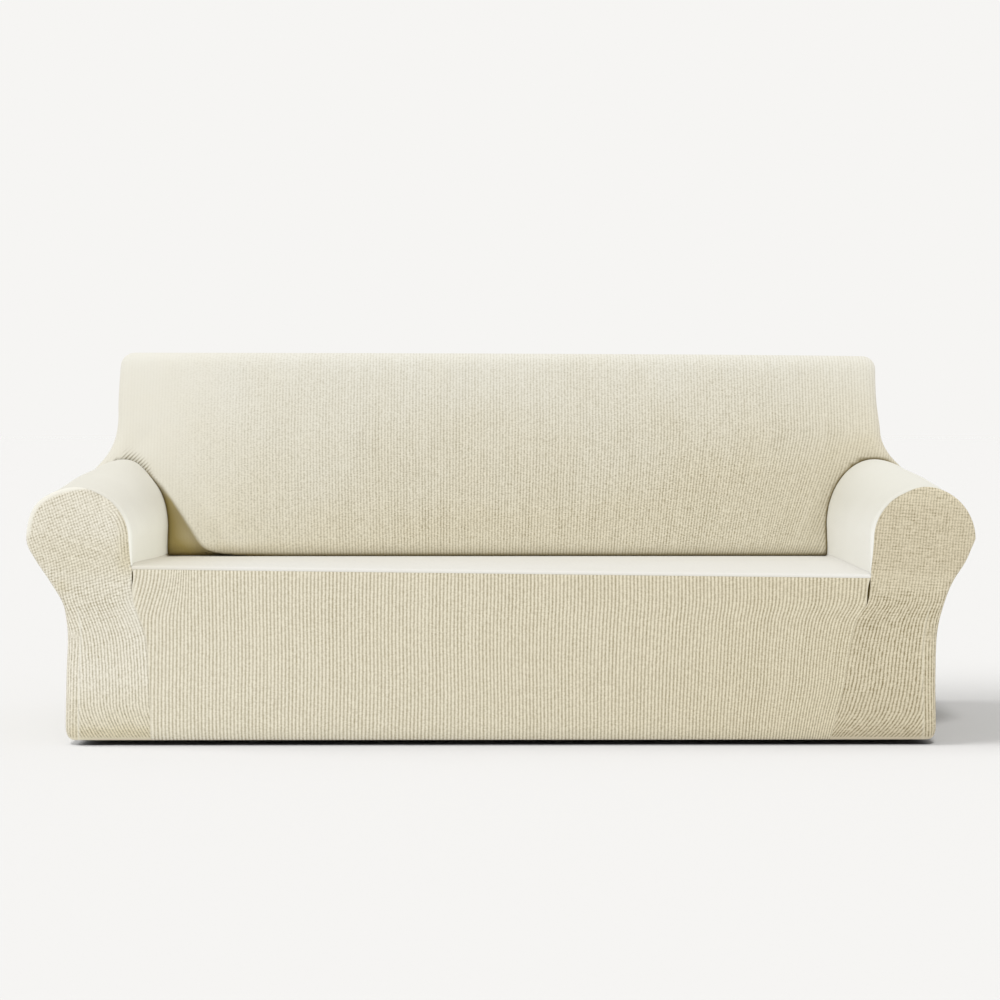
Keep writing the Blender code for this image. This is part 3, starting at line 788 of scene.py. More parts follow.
def backFrontY(x, z):
    # leaning front of the back, curled in along its foot, with its tuck and soft folds
    height = np.maximum(z, cover["seatZ"]) - cover["seatZ"]
    low = np.clip(1.0 - height / backShape["curlHeight"], 0.0, 1.0)
    y = backShape["creaseY"] + backShape["lean"] * height + backShape["curlDepth"] * low * low
    tuck = backShape["tuck"]
    behind, rise = pastTuck(x, z)
    y = y + tuck["depth"] * (1.0 - near(behind, tuck["width"])) * (1.0 - fade(rise, tuck["closes"]))
    for fold in backShape["folds"]:
        across = (x - fold["x"] - fold["slope"] * (z - fold["z"])) / fold["wide"]
        along = (z - fold["z"]) / fold["high"]
        y = y + fold["depth"] * np.exp(-across * across - along * along)
    calm = fade(height, (0.0, backShape["wavesRise"])) * fade(z, backShape["wavesTo"])
    y = y + slowWaves(x, z, backShape["waves"]) * calm
    radius = backShape["edgeRadius"]
    return y + roundDrop(fromEdges(backSide(x, z) - np.abs(x), topEdge(x) - z, radius), radius)


def outsideBack(points):
    x, y, z = points.T
    return np.maximum(backFrontY(x, z) - y, np.abs(x) - backSide(x, z))


def backTones(points):
    # how deep the tone is, with its painted light falloff and painted shade, how much the ribs show, and the
    # painted shade in its creases
    shade = backShade
    x, y, z = points.T
    tones = {column: fromTable(backShape["tones"], "x", column, x) for column in ("tone", "ribs", "loops")}
    toRight = np.maximum(outsideArm("right", points), 0.0)
    toLeft = np.maximum(outsideArm("left", points), 0.0)
    front = fade(y, shade["front"])
    foot = ramp(z, shade["foot"])
    down = ramp(z, shade["down"]) ** shade["downPower"]
    # deeper to the right in painted light falloff, and deeper towards the foot in painted shade
    tone = down * tones["tone"]
    for part in (shade["rightTone"], shade["rightWideTone"]):
        tone = tone + part["strength"] * near(toRight, part["reach"]) * front
    tone = tone + shade["footTone"] * foot + shade["lowTone"] * fade(z, shade["low"])
    shown, more = shade["ribs"]
    show = np.clip(shown + more * down ** shade["shownPower"], 0.0, 1.0) * tones["ribs"]
    shown, more = shade["loops"]
    loops = np.clip(shown + more * down ** shade["shownPower"], 0.0, 1.0) * tones["loops"]
    loops = loops * (1.0 - shade["footSmooth"] * foot)

    part = shade["creaseShade"]
    under = ramp(z, part["z"]) * (part["aside"] + (1.0 - part["aside"]) * bell(x, *part["at"]))
    creaseShade = part["strength"] * under ** part["power"]
    creaseShade = creaseShade + shade["seam"]["strength"] * fade(z, shade["seam"]["z"])
    part = shade["rightLine"]
    rightLine = part["strength"] * bell(toRight, 0.0, part["width"]) * fade(z, part["z"])
    haze = shade["rightHaze"]["strength"] * near(toRight, shade["rightHaze"]["reach"])
    creaseShade = np.maximum(creaseShade, (rightLine + haze) * front)
    part = shade["leftLine"]
    leftLine = bell(toLeft, 0.0, part["width"] * (1.0 + fade(z, part["widerBelow"])))
    leftLine = leftLine * fade(x, part["x"]) * fade(x, part["softX"]) * front
    creaseShade = np.maximum(creaseShade, part["strength"] * leftLine)
    part = shade["gathers"]
    gathers = bell(toLeft, part["away"], part["width"]) * fade(x, part["from"]) * fade(x, part["to"])

    behind, rise = pastTuck(x, z)
    part = shade["tuck"]
    inTuck = (behind > -part["edge"]) & (x < 0.0)
    low = np.clip(1.0 - rise * part["rise"], 0.0, 1.0)
    tuckShade = part["from"] + part["atArm"] * near(toLeft, part["armReach"]) + part["foot"] * foot
    tuckShade = np.clip(tuckShade * (part["risen"] + (1.0 - part["risen"]) * low), 0.0, 1.0)
    tuckShade = np.where(inTuck, tuckShade, 0.0) * fade(z, part["z"])
    part = shade["tuckDeepShade"]
    deep = part["strength"] * near(toLeft, part["reach"]) * fade(z, part["z"])
    creaseShade = np.maximum(creaseShade, np.where(inTuck & (behind > 0.0), deep, 0.0))
    part = shade["tuckSmooth"]
    calm = 1.0 - part["strength"] * fade(behind, part["behind"]) * (z < part["topZ"]) * (x < 0.0)
    return {"tone": np.clip(tone, 0.0, shade["most"]), "ribsShow": show * calm, "loops": loops * calm,
            "creaseShade": np.clip(creaseShade, 0.0, 1.0), "gathers": gathers * front, "tuckShade": tuckShade,
            "tuckPast": np.where(x < 0.0, behind, -1.0)}


puckerShape = {
    "pitch": 0.0115,
    "height": 0.0022,
    "reach": 0.012,
    "rearY": 0.28,
    "from": (0.575, 0.02),
    "to": (0.665, -0.02),
}


def puckers(points):
    # small gathers where the back is sewn onto the left roll
    x, y, z = points.T
    where = bell(outsideArm("left", points), 0.0, puckerShape["reach"])
    where = where * (x < 0.0) * (y < puckerShape["rearY"])
    where = where * fade(z, puckerShape["from"]) * fade(z, puckerShape["to"])
    moved = np.zeros_like(points)
    moved[:, 1] = puckerShape["height"] * np.cos(2.0 * math.pi * (x - z) / puckerShape["pitch"]) * where
    return moved


def backFace():
    # the leaning front as a grid, closest at its foot and in its rounded corners
    shape = backShape
    radius = shape["edgeRadius"]
    flat = 1.0 - radius
    turns = np.sin(np.radians(np.linspace(0.0, 90.0, shape["cornerColumns"] + 1)[1:]))
    corner = flat + radius * turns
    share = np.concatenate([-corner[::-1], np.linspace(-flat, flat, shape["columns"]), corner])
    low = cover["seatZ"] + shape["footLift"]
    climb = np.linspace(0.0, 1.0, shape["fineRows"], endpoint=False) ** shape["fineEasing"]
    plainTop = cover["topZ"] - radius - shape["topGap"]
    rows = np.concatenate([low + (shape["fineTopZ"] - low) * climb,
                           np.linspace(shape["fineTopZ"], plainTop, shape["plainRows"])])
    overTop = radius * (1.0 - np.sin(np.radians(np.linspace(0.0, 90.0, shape["topRows"] + 1)[1:])))
    tops = topEdge(share)[None, :] - overTop[:, None]
    z = np.concatenate([np.repeat(rows[:, None], len(share), axis=1), tops])
    shares = np.repeat(share[None, :], len(z), axis=0)
    half = cornerHalf(backSide(shares, z), topEdge(shares) - z, radius)
    spread = between(np.abs(shares), shape["flareFrom"], 1.0)
    x = shares + (half - 1.0) * spread * np.sign(shares)
    down = np.clip((shape["leanZ"] - z) / shape["leanOver"], 0.0, shape["leanMost"])
    lean = fromTable(shape["tones"], "x", "lean", x) * down ** shape["leanPower"]
    return x, backFrontY(x, z), z, (x + lean) * shape["ribs"] / 2.0


def makeBack():
    x, y, z, ribLine = backFace()
    points = [flatRows(x, y, z)]
    uv = [flatRows(ribLine, z)]
    quads = [gridQuads(*x.shape)]
    # the rim runs back to the rear panel as the side walls and the top
    index = np.arange(x.size).reshape(x.shape)
    rim = np.concatenate([index[:, 0], index[-1, 1:], index[::-1, -1][1:]])
    rimPoints = points[0][rim]
    run = unitRows(np.gradient(rimPoints[:, [0, 2]], axis=0))
    away = np.stack([-run[:, 1], run[:, 0]], axis=1) * (backShape["ribs"] / 2.0, 1.0)
    reach = backShape["rearEdgeY"] - rimPoints[:, 1]
    previous = rim
    for row in range(backShape["wallRows"]):
        deeper = reach * (row + 1) / backShape["wallRows"]
        points.append(rimPoints + deeper[:, None] * (0.0, 1.0, 0.0))
        uv.append(uv[0][rim] + away * deeper[:, None])
        current = x.size + row * len(rim) + np.arange(len(rim))
        quads.append(stripQuads(previous, current))
        previous = current
    points, uv, quads = (np.concatenate(part) for part in (points, uv, quads))
    for side in sideSign:
        points, uv, _, quads = trimmed(points, uv, {}, quads, outsideArm(side, points) - cover["seamGap"])
    material = ribbedKnit("ribbed knit of the back", {**backShape["look"], "tuck": backShape["tuck"]})
    return layCloth("ribbedBack", points + puckers(points), uv, quads, (0.0, -1.0, 0.0), cover["ribCloth"],
                    backTones(points), material)


# arm panels
armPanel = {
    # radius of the front edge: up the wall from its foot, and down the outer side from the roll
    "wallCorners": (0.001, 0.005, 0.008),
    "sideCorners": (0.008, 0.020),
    "sideCornerZ": 0.15,
    "rows": 84,
    "turnShares": (1.0, 0.97, 0.86, 0.72, 0.58, 0.44, 0.29, 0.15, 0.0),
    "underBack": 0.006,  # how far the panel runs on under the back
    "underDeck": 0.008,
    "footEdge": 0.0003,
    "wrapFrom": 60.0,  # degrees over the roll from the wall side where the front piece reaches round
    "wrapTo": 108.0,
    "wrapMost": 0.93,
    "ribbedBelow": (0.43, -0.08),
    # painted light: paler on the inner wall below the roll, where less light falls, and deeper elsewhere
    "wallTone": (0.56, -0.10),
    # painted shade along the seam with the back
    "backSeamShade": {"strength": 0.75, "reach": 0.003, "x": (0.915, -0.03), "fromZ": 0.30},
    "look": {
        **smoothYarn,
        "groove": tint(206, 200, 180),
        "mottleScale": 7.0,
        "mottle": 0.35,
        "ribbed": {"pitch": 0.0083, "crown": tint(232, 227, 208), "groove": tint(178, 168, 138),
                   "lineShade": 0.5, "barShade": 0.7},
    },
    "left": {"pale": tint(247, 247, 238), "deep": tint(225, 223, 213)},
    "right": {"pale": tint(245, 245, 240), "deep": tint(227, 226, 217)},
}


def squareOff(profile):
    # unit direction out of the arm at each point of its outline
    run = unitRows(np.gradient(profile, axis=0))
    out = np.stack([-run[:, 1], run[:, 0]], axis=1)
    low = (profile[:, 1] < cover["hemHeight"]) & (profile[:, 0] > armShape["rollX"])
    out[low] = (1.0, 0.0)
    out[0] = (-1.0, 0.0)
    return out


def cornerRadius(profile):
    x, z = profile.T
    middle = 0.5 * (cover["seatZ"] + armShape["rollZ"])
    wall = np.interp(z, [cover["seatZ"], middle, armShape["rollZ"]], armPanel["wallCorners"])
    high, low = armPanel["sideCorners"]
    outer = high + (low - high) * between(z, armShape["rollZ"], armPanel["sideCornerZ"])
    return np.where(x < armShape["rollX"], wall, outer)


def seamTurn(profile):
    # where the front piece ends on the rounded edge: 90 degrees is on its flat face, 0 on the arm's side
    x, z = profile.T
    over = np.degrees(np.arctan2(z - armShape["rollZ"], armShape["rollX"] - x)) % 360.0
    over = np.where((z <= armShape["rollZ"]) & (x < armShape["rollX"]), 0.0, over)
    wrapped = between(over, armPanel["wrapFrom"], armPanel["wrapTo"])
    return np.radians(90.0) * (1.0 - armPanel["wrapMost"] * wrapped)


def cornerPoints(front, out, radius, turn, sunk=0.0, past=0.0):
    # points on the rounded front edge of an arm, or sunk below it
    inset = radius - (radius - sunk) * np.cos(turn) + past
    flat = front - out * inset[:, None]
    y = cover["frontY"] + hemDraw(front[:, 1]) + radius - (radius - sunk) * np.sin(turn)
    return np.stack([flat[:, 0], y, flat[:, 1]], axis=1)


def makeArmPanel(side):
    front = armProfile(side, cover["frontY"])
    out = squareOff(front)
    radius = cornerRadius(front)
    turn = seamTurn(front)
    lipTurn = np.minimum(turn + cover["lip"] / radius, math.radians(90.0))
    past = cover["lip"] - radius * (lipTurn - turn)
    rows = [cornerPoints(front, out, radius, lipTurn, cover["lipSunk"], past),
            cornerPoints(front, out, radius, turn, cover["lipSunk"])]
    rows += [cornerPoints(front, out, radius, turn * share) for share in armPanel["turnShares"]]
    edgeRow = len(rows) - 1
    firstY = rows[edgeRow][:, 1]
    for share in np.linspace(0.0, 1.0, armPanel["rows"])[1:]:
        y = firstY + (backShape["rearEdgeY"] - firstY) * share
        profile = armProfile(side, float(np.median(y)))
        rows.append(np.stack([profile[:, 0], y, profile[:, 1]], axis=1))
    points = np.stack(rows)
    # the wall's foot runs on down behind the deck's turned-up edge
    foot = points[:, :1]
    sunk = foot + (cover["lipSunk"], 0.0, 0.0)
    points = np.concatenate([sunk - (0.0, 0.0, armPanel["underDeck"]), sunk, foot,
                             foot + (0.0, 0.0, armPanel["footEdge"]), points[:, 1:]], axis=1)
    steps = np.linalg.norm(np.diff(points[edgeRow], axis=0), axis=1)
    run = np.concatenate([[0.0], np.cumsum(steps)])
    quads = gridQuads(*points.shape[:2])
    x, y, z = points.reshape(-1, 3).T
    uv = flatRows(np.tile(run, len(points)), y)
    points = flatRows(x * sideSign[side], y, z)
    line = armPanel["backSeamShade"]
    onBack = np.where(z < line["fromZ"], 1.0, outsideBack(points))
    extras = {
        "ribbed": fade(z, armPanel["ribbedBelow"]) * (x > armShape["rollX"]),
        # painted light on the inner wall, painted shade along the seam with the back
        "tone": 1.0 - fade(z, armPanel["wallTone"]) * (x < armShape["rollX"]),
        "creaseShade": line["strength"] * near(onBack, line["reach"]) * fade(x, line["x"]),
    }
    points, uv, extras, quads = trimmed(points, uv, extras, quads, onBack + armPanel["underBack"])
    material = smoothKnit(f"smooth knit of the {side} arm", {**armPanel["look"], **armPanel[side]})
    return layCloth(f"smoothArm{side.capitalize()}", points, uv, quads, (sideSign[side] * 0.6, -0.1, 0.8),
                    cover["cloth"], extras, material)


# front drop: the rib lines are gathered towards the left seam at the foot of its notch
dropShape = {
    "topZ": 0.3857,
    "ribs": 201,
    "spareRibs": 5,
    "extraRibs": 9,
    "perRib": 4,
    "ribHeight": 0.0012,
    "seamRibs": 0.3,  # share of the rib height that is left at the seams
    "hemRows": 8,
    "rows": 48,
    "pinchLowZ": 0.272,
    "pinchHighZ": 0.388,
    "pinch": 0.0266,
    "pinchReach": 0.116,
    "rightZ": 0.313,
    "rightReach": 0.24,
    "rightBeyond": 0.02,
    "seamPale": 0.0025,
    "ribShade": 0.74,
    "ribBends": (
        {"length": 0.330, "turn": 75.0, "height": 0.0011, "start": 0.7},
        {"length": 0.610, "turn": 20.0, "height": 0.0016, "start": 2.4},
    ),
    # a lumpy ridge beside the left notch, pale in a painted highlight along it
    "ridge": {"height": 0.0030, "wide": 0.0050, "from": (0.316, 0.01), "to": (0.362, -0.01), "pitch": 0.0085,
              "lumps": 0.4, "highlightWide": 0.009, "pale": 0.8, "smooth": 0.7},
    "seams": (
        {"z": 0.000, "left": 0.8120, "right": 0.7630},
        {"z": 0.013, "left": 0.8122, "right": 0.7655},
        {"z": 0.052, "left": 0.8126, "right": 0.7750},
        {"z": 0.128, "left": 0.8150, "right": 0.7940},
        {"z": 0.190, "left": 0.8180, "right": 0.8025},
        {"z": 0.244, "left": 0.8240, "right": 0.8130},
        {"z": 0.279, "left": 0.8360, "right": 0.8240},
        {"z": 0.313, "left": 0.8500, "right": 0.8460},
        {"z": 0.330, "left": 0.8535, "right": 0.8510},
        {"z": 0.350, "left": 0.8550, "right": 0.8530},
        {"z": 0.370, "left": 0.8550, "right": 0.8545},
        {"z": 0.3857, "left": 0.8545, "right": 0.8550},
    ),
    # how far each seam stands open near its top
    "slits": (
        {"z": 0.244, "left": 0.0000, "right": 0.0000},
        {"z": 0.279, "left": 0.0000, "right": 0.0000},
        {"z": 0.313, "left": 0.0000, "right": 0.0006},
        {"z": 0.330, "left": 0.0000, "right": 0.0044},
        {"z": 0.350, "left": 0.0010, "right": 0.0052},
        {"z": 0.370, "left": 0.0034, "right": 0.0042},
        {"z": 0.3857, "left": 0.0012, "right": 0.0010},
    ),
    "waves": (
        {"length": 0.260, "turn": 8.0, "height": 0.0007, "start": 1.2},
        {"length": 0.150, "turn": -16.0, "height": 0.0004, "start": 3.0},
    ),
    "wavesFrom": (0.01, 0.05),
    "wavesTop": 0.05,
    "wavesSide": (0.82, -0.06),
    # painted light falloff: pale at the left and deeper to the right, deeper still at the right foot
    "tone": {"left": 0.05, "across": 0.75, "half": 0.85,
             "low": 0.15, "lowZ": (0.5, -0.5), "lowX": (0.2, 0.5)},
    "look": {
        **ribbedYarn,
        "paleCrown": tint(240, 235, 218),
        "paleGroove": tint(164, 153, 122),
        "deepCrown": tint(229, 220, 194),
        "deepGroove": tint(138, 124, 88),
        "grooveSharpness": 1.35,
        "wobbleScale": 28.0,
        "wobble": 0.20,
        "streakRate": 1.5,
        "streak": 0.30,
        "grainFiner": (220.0, 220.0, 400.0),
        "grainShade": 1.05,
        "mottleScale": 5.0,
        "mottle": 0.25,
        "bump": 0.45,
        "ribHeight": 0.0009,
    },
}


def seamX(side, z):
    return fromTable(dropShape["seams"], "z", side, z)


def slitWidth(side, z):
    return fromTable(dropShape["slits"], "z", side, z)


def makeDrop():
    shape = dropShape
    left = float(seamX("left", 0.0))
    right = float(seamX("right", shape["rightZ"]))
    pitch = (left + right) / (shape["ribs"] - shape["spareRibs"])
    first = -shape["extraRibs"] * shape["perRib"]
    last = (shape["ribs"] + shape["extraRibs"]) * shape["perRib"]
    hem = np.linspace(0.0, cover["hemHeight"], shape["hemRows"] + 1)[:-1]
    heights = np.concatenate([hem, np.linspace(cover["hemHeight"], shape["topZ"], shape["rows"])])
    lines, z = np.meshgrid(np.arange(first, last + 1) / shape["perRib"], heights)
    base = -left + lines * pitch
    # near the notch the ribs swing out to the right, in a soft S
    swing = between(z, shape["pinchLowZ"], shape["pinchHighZ"])
    x = base + shape["pinch"] * swing * (1.0 - fade(base + left, (0.0, shape["pinchReach"])))
    x = x + slowWaves(base, z, shape["ribBends"])
    toRight = np.maximum(right - base, -shape["rightBeyond"])
    x = x - (right - seamX("right", z)) * np.exp(-toRight / shape["rightReach"])
    inLeft = x + seamX("left", z) - slitWidth("left", z)
    inRight = seamX("right", z) - slitWidth("right", z) - x
    show = fade(inLeft, (0.0, shape["seamPale"])) * fade(inRight, (0.0, shape["seamPale"]))
    raised = ribCrown(lines) * (shape["seamRibs"] + (1.0 - shape["seamRibs"]) * show)
    y = cover["frontY"] + hemDraw(z) - shape["ribHeight"] * raised
    calm = fade(z, (shape["topZ"], -shape["wavesTop"])) * fade(z, shape["wavesFrom"])
    y = y + slowWaves(x, z, shape["waves"]) * calm * fade(np.abs(x), shape["wavesSide"])
    ridge = shape["ridge"]
    onRidge = fade(z, ridge["from"]) * fade(z, ridge["to"])
    lumps = 1.0 - ridge["lumps"] + ridge["lumps"] * np.cos(2.0 * math.pi * z / ridge["pitch"])
    fromSeam = np.maximum(inLeft, 0.0)
    y = y - ridge["height"] * lumps * onRidge * bell(fromSeam, 0.0, ridge["wide"])
    tones = shape["tone"]
    tone = tones["left"] + tones["across"] * (x / tones["half"] + 1.0) / 2.0
    tone = np.clip(tone + tones["low"] * fade(z, tones["lowZ"]) * fade(x, tones["lowX"]), 0.0, 1.0)
    # painted highlight along the ridge
    pale = onRidge * bell(fromSeam, 0.0, ridge["highlightWide"])
    show = (show * (1.0 - ridge["smooth"] * pale * lumps)).reshape(-1)
    extras = {"z": z.reshape(-1), "ribsShow": show * shape["ribShade"], "loops": show,
              "tone": (tone * (1.0 - ridge["pale"] * pale)).reshape(-1)}
    points, uv, extras, quads = trimmed(flatRows(x, y, z + seamLift(x, z)), flatRows(lines, z), extras,
                                        gridQuads(*x.shape), inLeft.reshape(-1))
    toSeam = seamX("right", extras["z"]) - slitWidth("right", extras["z"]) - points[:, 0]
    points, uv, extras, quads = trimmed(points, uv, extras, quads, toSeam)
    extras.pop("z")
    return layCloth("ribbedDrop", points, uv, quads, (0.0, -1.0, 0.0), cover["ribCloth"], extras,
                    ribbedKnit("ribbed knit of the drop", shape["look"]))


# arm fronts: the disc at the end of the roll and the post under it
armFront = {
    "rows": 190,
    "columns": 84,
    "seamPoints": 60,
    "hemPoints": 7,
    "topFrom": 16,  # points of the roll before and after the stretch that is the top border
    "topTo": 14,
    "closeColumn": 0.002,  # keeps the shading of the turned-in edge off the face
    "turnSteps": 6,
    "turnMost": 85.0,
    "faceFrom": 70.0,
    "dome": 0.003,
    "domeReach": 0.93,
    "rimDip": 0.0006,
    "rimDipWide": 0.004,
    "lipDeeper": 0.6,  # the lip goes deeper and further where the seam stands open
    "lipLonger": 1.5,
    "middleX": 0.93,
    "pitch": 0.0073,
    "discCloser": 0.0004,  # the ribs lie closer on the discs
    "discZ": (0.34, 0.12),
    "discLeanZ": 0.40,
    "leanZ": 0.30,
    "follow": (0.80, 0.20),  # where across the front the ribs stop following the seam
    "hemPullPower": 1.6,
    "barShare": 0.75,
    # ribs along the rim of the disc, and the strip that turns to the side with its ribs upright and a painted
    # highlight along its line
    "rim": {"soft": 0.003, "closer": 0.95, "phase": 0.5, "shade": 0.62,
            "from": (0.405, 0.03), "to": (0.565, -0.05), "x": (0.958, -0.04)},
    "strip": {"wide": 0.012, "soft": 0.002, "z": (0.27, -0.06), "paler": 0.45,
              "lineAt": -0.013, "lineWide": 0.0022, "lineZ": (0.34, -0.06), "linesFrom": -0.03},
    "band": {"x": (0.90, 0.10), "soft": 0.008, "z": (0.45, 0.05), "paler": 0.85,
             "fromPoint": 21, "points": 53},
    "hemPlain": (0.009, -0.004),
    "bars": (0.16, 0.22),
    "barsLow": 0.15,
    "post": (0.38, -0.08),
    # painted highlight where the front turns round to the side
    "roundHighlight": 0.55,
    # where the painted highlight beside the notch lies
    "notch": {"x": 0.842, "z": 0.312, "wide": 0.030, "high": 1.8},
    "look": {
        **coarseYarn,
        "ribDepth": 0.6,
        "barDepth": 0.5,
        "grainDepth": 0.6,
        "grainFiner": (230.0, 230.0, 330.0),
        "grooveSharpness": 1.6,
        "wobbleScale": 75.0,
        "wobble": 0.45,
        "barWobble": 1.3,
        "rimLoss": 0.6,
        "patchScale": 90.0,
        "slub": 0.9,
        "slubRates": (40.0, 260.0),
        "mottleScale": 12.0,
        "mottle": 0.35,
        "bump": 0.4,
        "ribHeight": 0.0009,
    },
    "left": {
        "lean": 0.12,  # the knit of the left disc is pulled askew
        "followLoss": 0.1,
        "discLean": 0.20,
        "barLean": 0.40,
        "barPitch": 0.0077,
        "hemPull": 0.034,
        "hemPullZ": 0.085,
        "band": 0.013,
        "rimRibs": 0.026,
        "discShade": 0.40,
        "postShade": 0.68,
        "notchHighlight": 0.40,
        "tone": 0.12,
        # deeper on the disc; deeper towards the hem in painted shade
        "tones": (
            {"add": 0.30, "z": ((0.50, -0.06), (0.36, 0.05))},
            {"add": 0.45, "x": ((0.90, -0.03),), "z": ((0.36, 0.06),)},
            {"add": 0.55, "z": ((0.20, -0.20),), "power": 1.5},
            {"add": 0.40, "z": ((0.045, -0.03),)},
        ),
        "underDiscShade": {"add": 0.50, "x": (1.020, 0.022), "z": (0.358, 0.018)},  # painted shade: a deeper patch under the disc
        "look": {
            "paleCrown": tint(244, 240, 227),
            "paleGroove": tint(155, 144, 112),
            "deepCrown": tint(226, 218, 192),
            "deepGroove": tint(134, 120, 82),
            "band": tint(238, 236, 226),
            "barShade": 0.34,
            "slubShade": 0.15,
            "patch": 0.7,
            "grainShade": 1.1,
        },
    },
    "right": {
        "lean": -0.12,
        "followLoss": 0.5,
        "discLean": 0.0,
        "barLean": -0.07,
        "barPitch": 0.0070,
        "hemPull": -0.030,
        "hemPullZ": 0.070,
        "band": 0.0,
        "rimRibs": 0.008,
        "discShade": 0.42,
        "postShade": 0.85,
        "notchHighlight": 0.0,
        "tone": 0.15,
        # deeper on the disc, paler at its top; deeper towards the hem in painted shade
        "tones": (
            {"add": 0.35, "z": ((0.36, 0.05),)},
            {"add": -0.35, "z": ((0.52, 0.05),)},
            {"add": 0.35, "z": ((0.20, -0.20),)},
            {"add": 0.45, "z": ((0.05, -0.04),)},
        ),
        # deeper and more beige than the left front: painted light falloff to the right
        "look": {
            "paleCrown": tint(228, 219, 194),
            "paleGroove": tint(136, 123, 88),
            "deepCrown": tint(211, 200, 174),
            "deepGroove": tint(120, 106, 70),
            "band": tint(228, 222, 203),
            "barShade": 0.22,
            "slubShade": 0.55,
            "patch": 0.8,
            "grainShade": 1.0,
        },
    },
}


def frontLines(side, x, z):
    # lines of the knit on an arm front, counted across the ribs and along them
    shape = armFront[side]
    sign = sideSign[side]
    disc = fade(z, armFront["discZ"])
    follow = 1.0 - shape["followLoss"] * ramp(x, armFront["follow"])
    seam = seamX(side, np.clip(z, 0.0, dropShape["topZ"])) - armShape["wallFrontX"]
    lean = shape["lean"] * np.maximum(z - armFront["leanZ"], 0.0)
    lean = lean + shape["discLean"] * disc * np.maximum(z - armFront["discLeanZ"], 0.0)
    low = ramp(z, (shape["hemPullZ"], -shape["hemPullZ"])) ** armFront["hemPullPower"]
    fromMiddle = x - armFront["middleX"]
    across = sign * (fromMiddle - follow * seam) + lean - shape["hemPull"] * low
    barShare = armFront["barShare"] + (1.0 - armFront["barShare"]) * disc
    along = z - sign * fromMiddle * shape["barLean"] * barShare
    return across / (armFront["pitch"] - armFront["discCloser"] * disc), along / shape["barPitch"]


def frontTones(side, x, z, roundShare):
    # tones of an arm front: painted shade deeper towards the hem and under the left disc, and paler in a
    # painted highlight where it turns to the side
    shape = armFront[side]
    tone = shape["tone"]
    if "underDiscShade" in shape:
        underDiscShade = shape["underDiscShade"]
        tone = tone + underDiscShade["add"] * bell(x, *underDiscShade["x"]) * bell(z, *underDiscShade["z"])
    for part in shape["tones"]:
        patch = 1.0
        for value, windows in ((x, part.get("x", ())), (z, part.get("z", ()))):
            for window in windows:
                patch = patch * fade(value, window)
        tone = tone + part["add"] * patch ** part.get("power", 1.0)
    return np.clip(tone * (1.0 - armFront["roundHighlight"] * roundShare), 0.0, 1.0)


def frontWeights(side, points, lineX, lineZ, roundShare, front, wallSide):
    # what the knit needs to know at each point of an arm front
    shape = armFront[side]
    pitch = armFront["pitch"]
    toWall = awayFromLine(points[:, 0], points[:, 2], wallSide)
    rim = armFront["rim"]
    onRim = fade(toWall, (shape["rimRibs"], -rim["soft"])) * fade(lineX, rim["x"])
    onRim = onRim * fade(lineZ, rim["from"]) * fade(lineZ, rim["to"])
    strip = armFront["strip"]
    fromEdge = lineX - underRoll(side, lineZ) + armPanel["sideCorners"][1]
    onStrip = fade(fromEdge, (-strip["wide"], strip["soft"])) * fade(lineZ, strip["z"])
    stripHighlight = bell(fromEdge, strip["lineAt"], strip["lineWide"]) * fade(lineZ, strip["lineZ"])
    band = armFront["band"]
    first = armShape["wallPoints"] + band["fromPoint"]
    toEdge = awayFromLine(lineX, lineZ, front[first:first + band["points"]])
    width = shape["band"] * fade(lineX, band["x"])
    onBand = np.where(width > 0.0, ease((width - toEdge) / band["soft"]) * fade(lineZ, band["z"]), 0.0)
    # the plain band is paler; painted highlights lie along the strip's line and beside the notch
    notch = armFront["notch"]
    fromNotch = np.hypot(lineX - notch["x"], (lineZ - notch["z"]) / notch["high"]) / notch["wide"]
    pale = np.maximum(onBand * band["paler"], strip["paler"] * stripHighlight)
    ribShade = shape["discShade"] + (shape["postShade"] - shape["discShade"]) * fade(lineZ, armFront["post"])
    return {
        "bars": armFront["barsLow"] + (1.0 - armFront["barsLow"]) * fade(lineZ, armFront["bars"]),
        "plainBand": np.maximum(onBand, fade(lineZ, armFront["hemPlain"])),
        "paleBandAndHighlight": np.maximum(pale, shape["notchHighlight"] * bell(fromNotch, 0.0, 1.0)),
        "rimShare": np.maximum(onRim, onStrip),
        "rimLine": np.where(fromEdge > strip["linesFrom"], fromEdge / pitch,
                            toWall / (rim["closer"] * pitch) + rim["phase"]),
        "ribShade": np.maximum(ribShade, rim["shade"] * onRim),
        "tone": frontTones(side, lineX, lineZ, roundShare),
    }


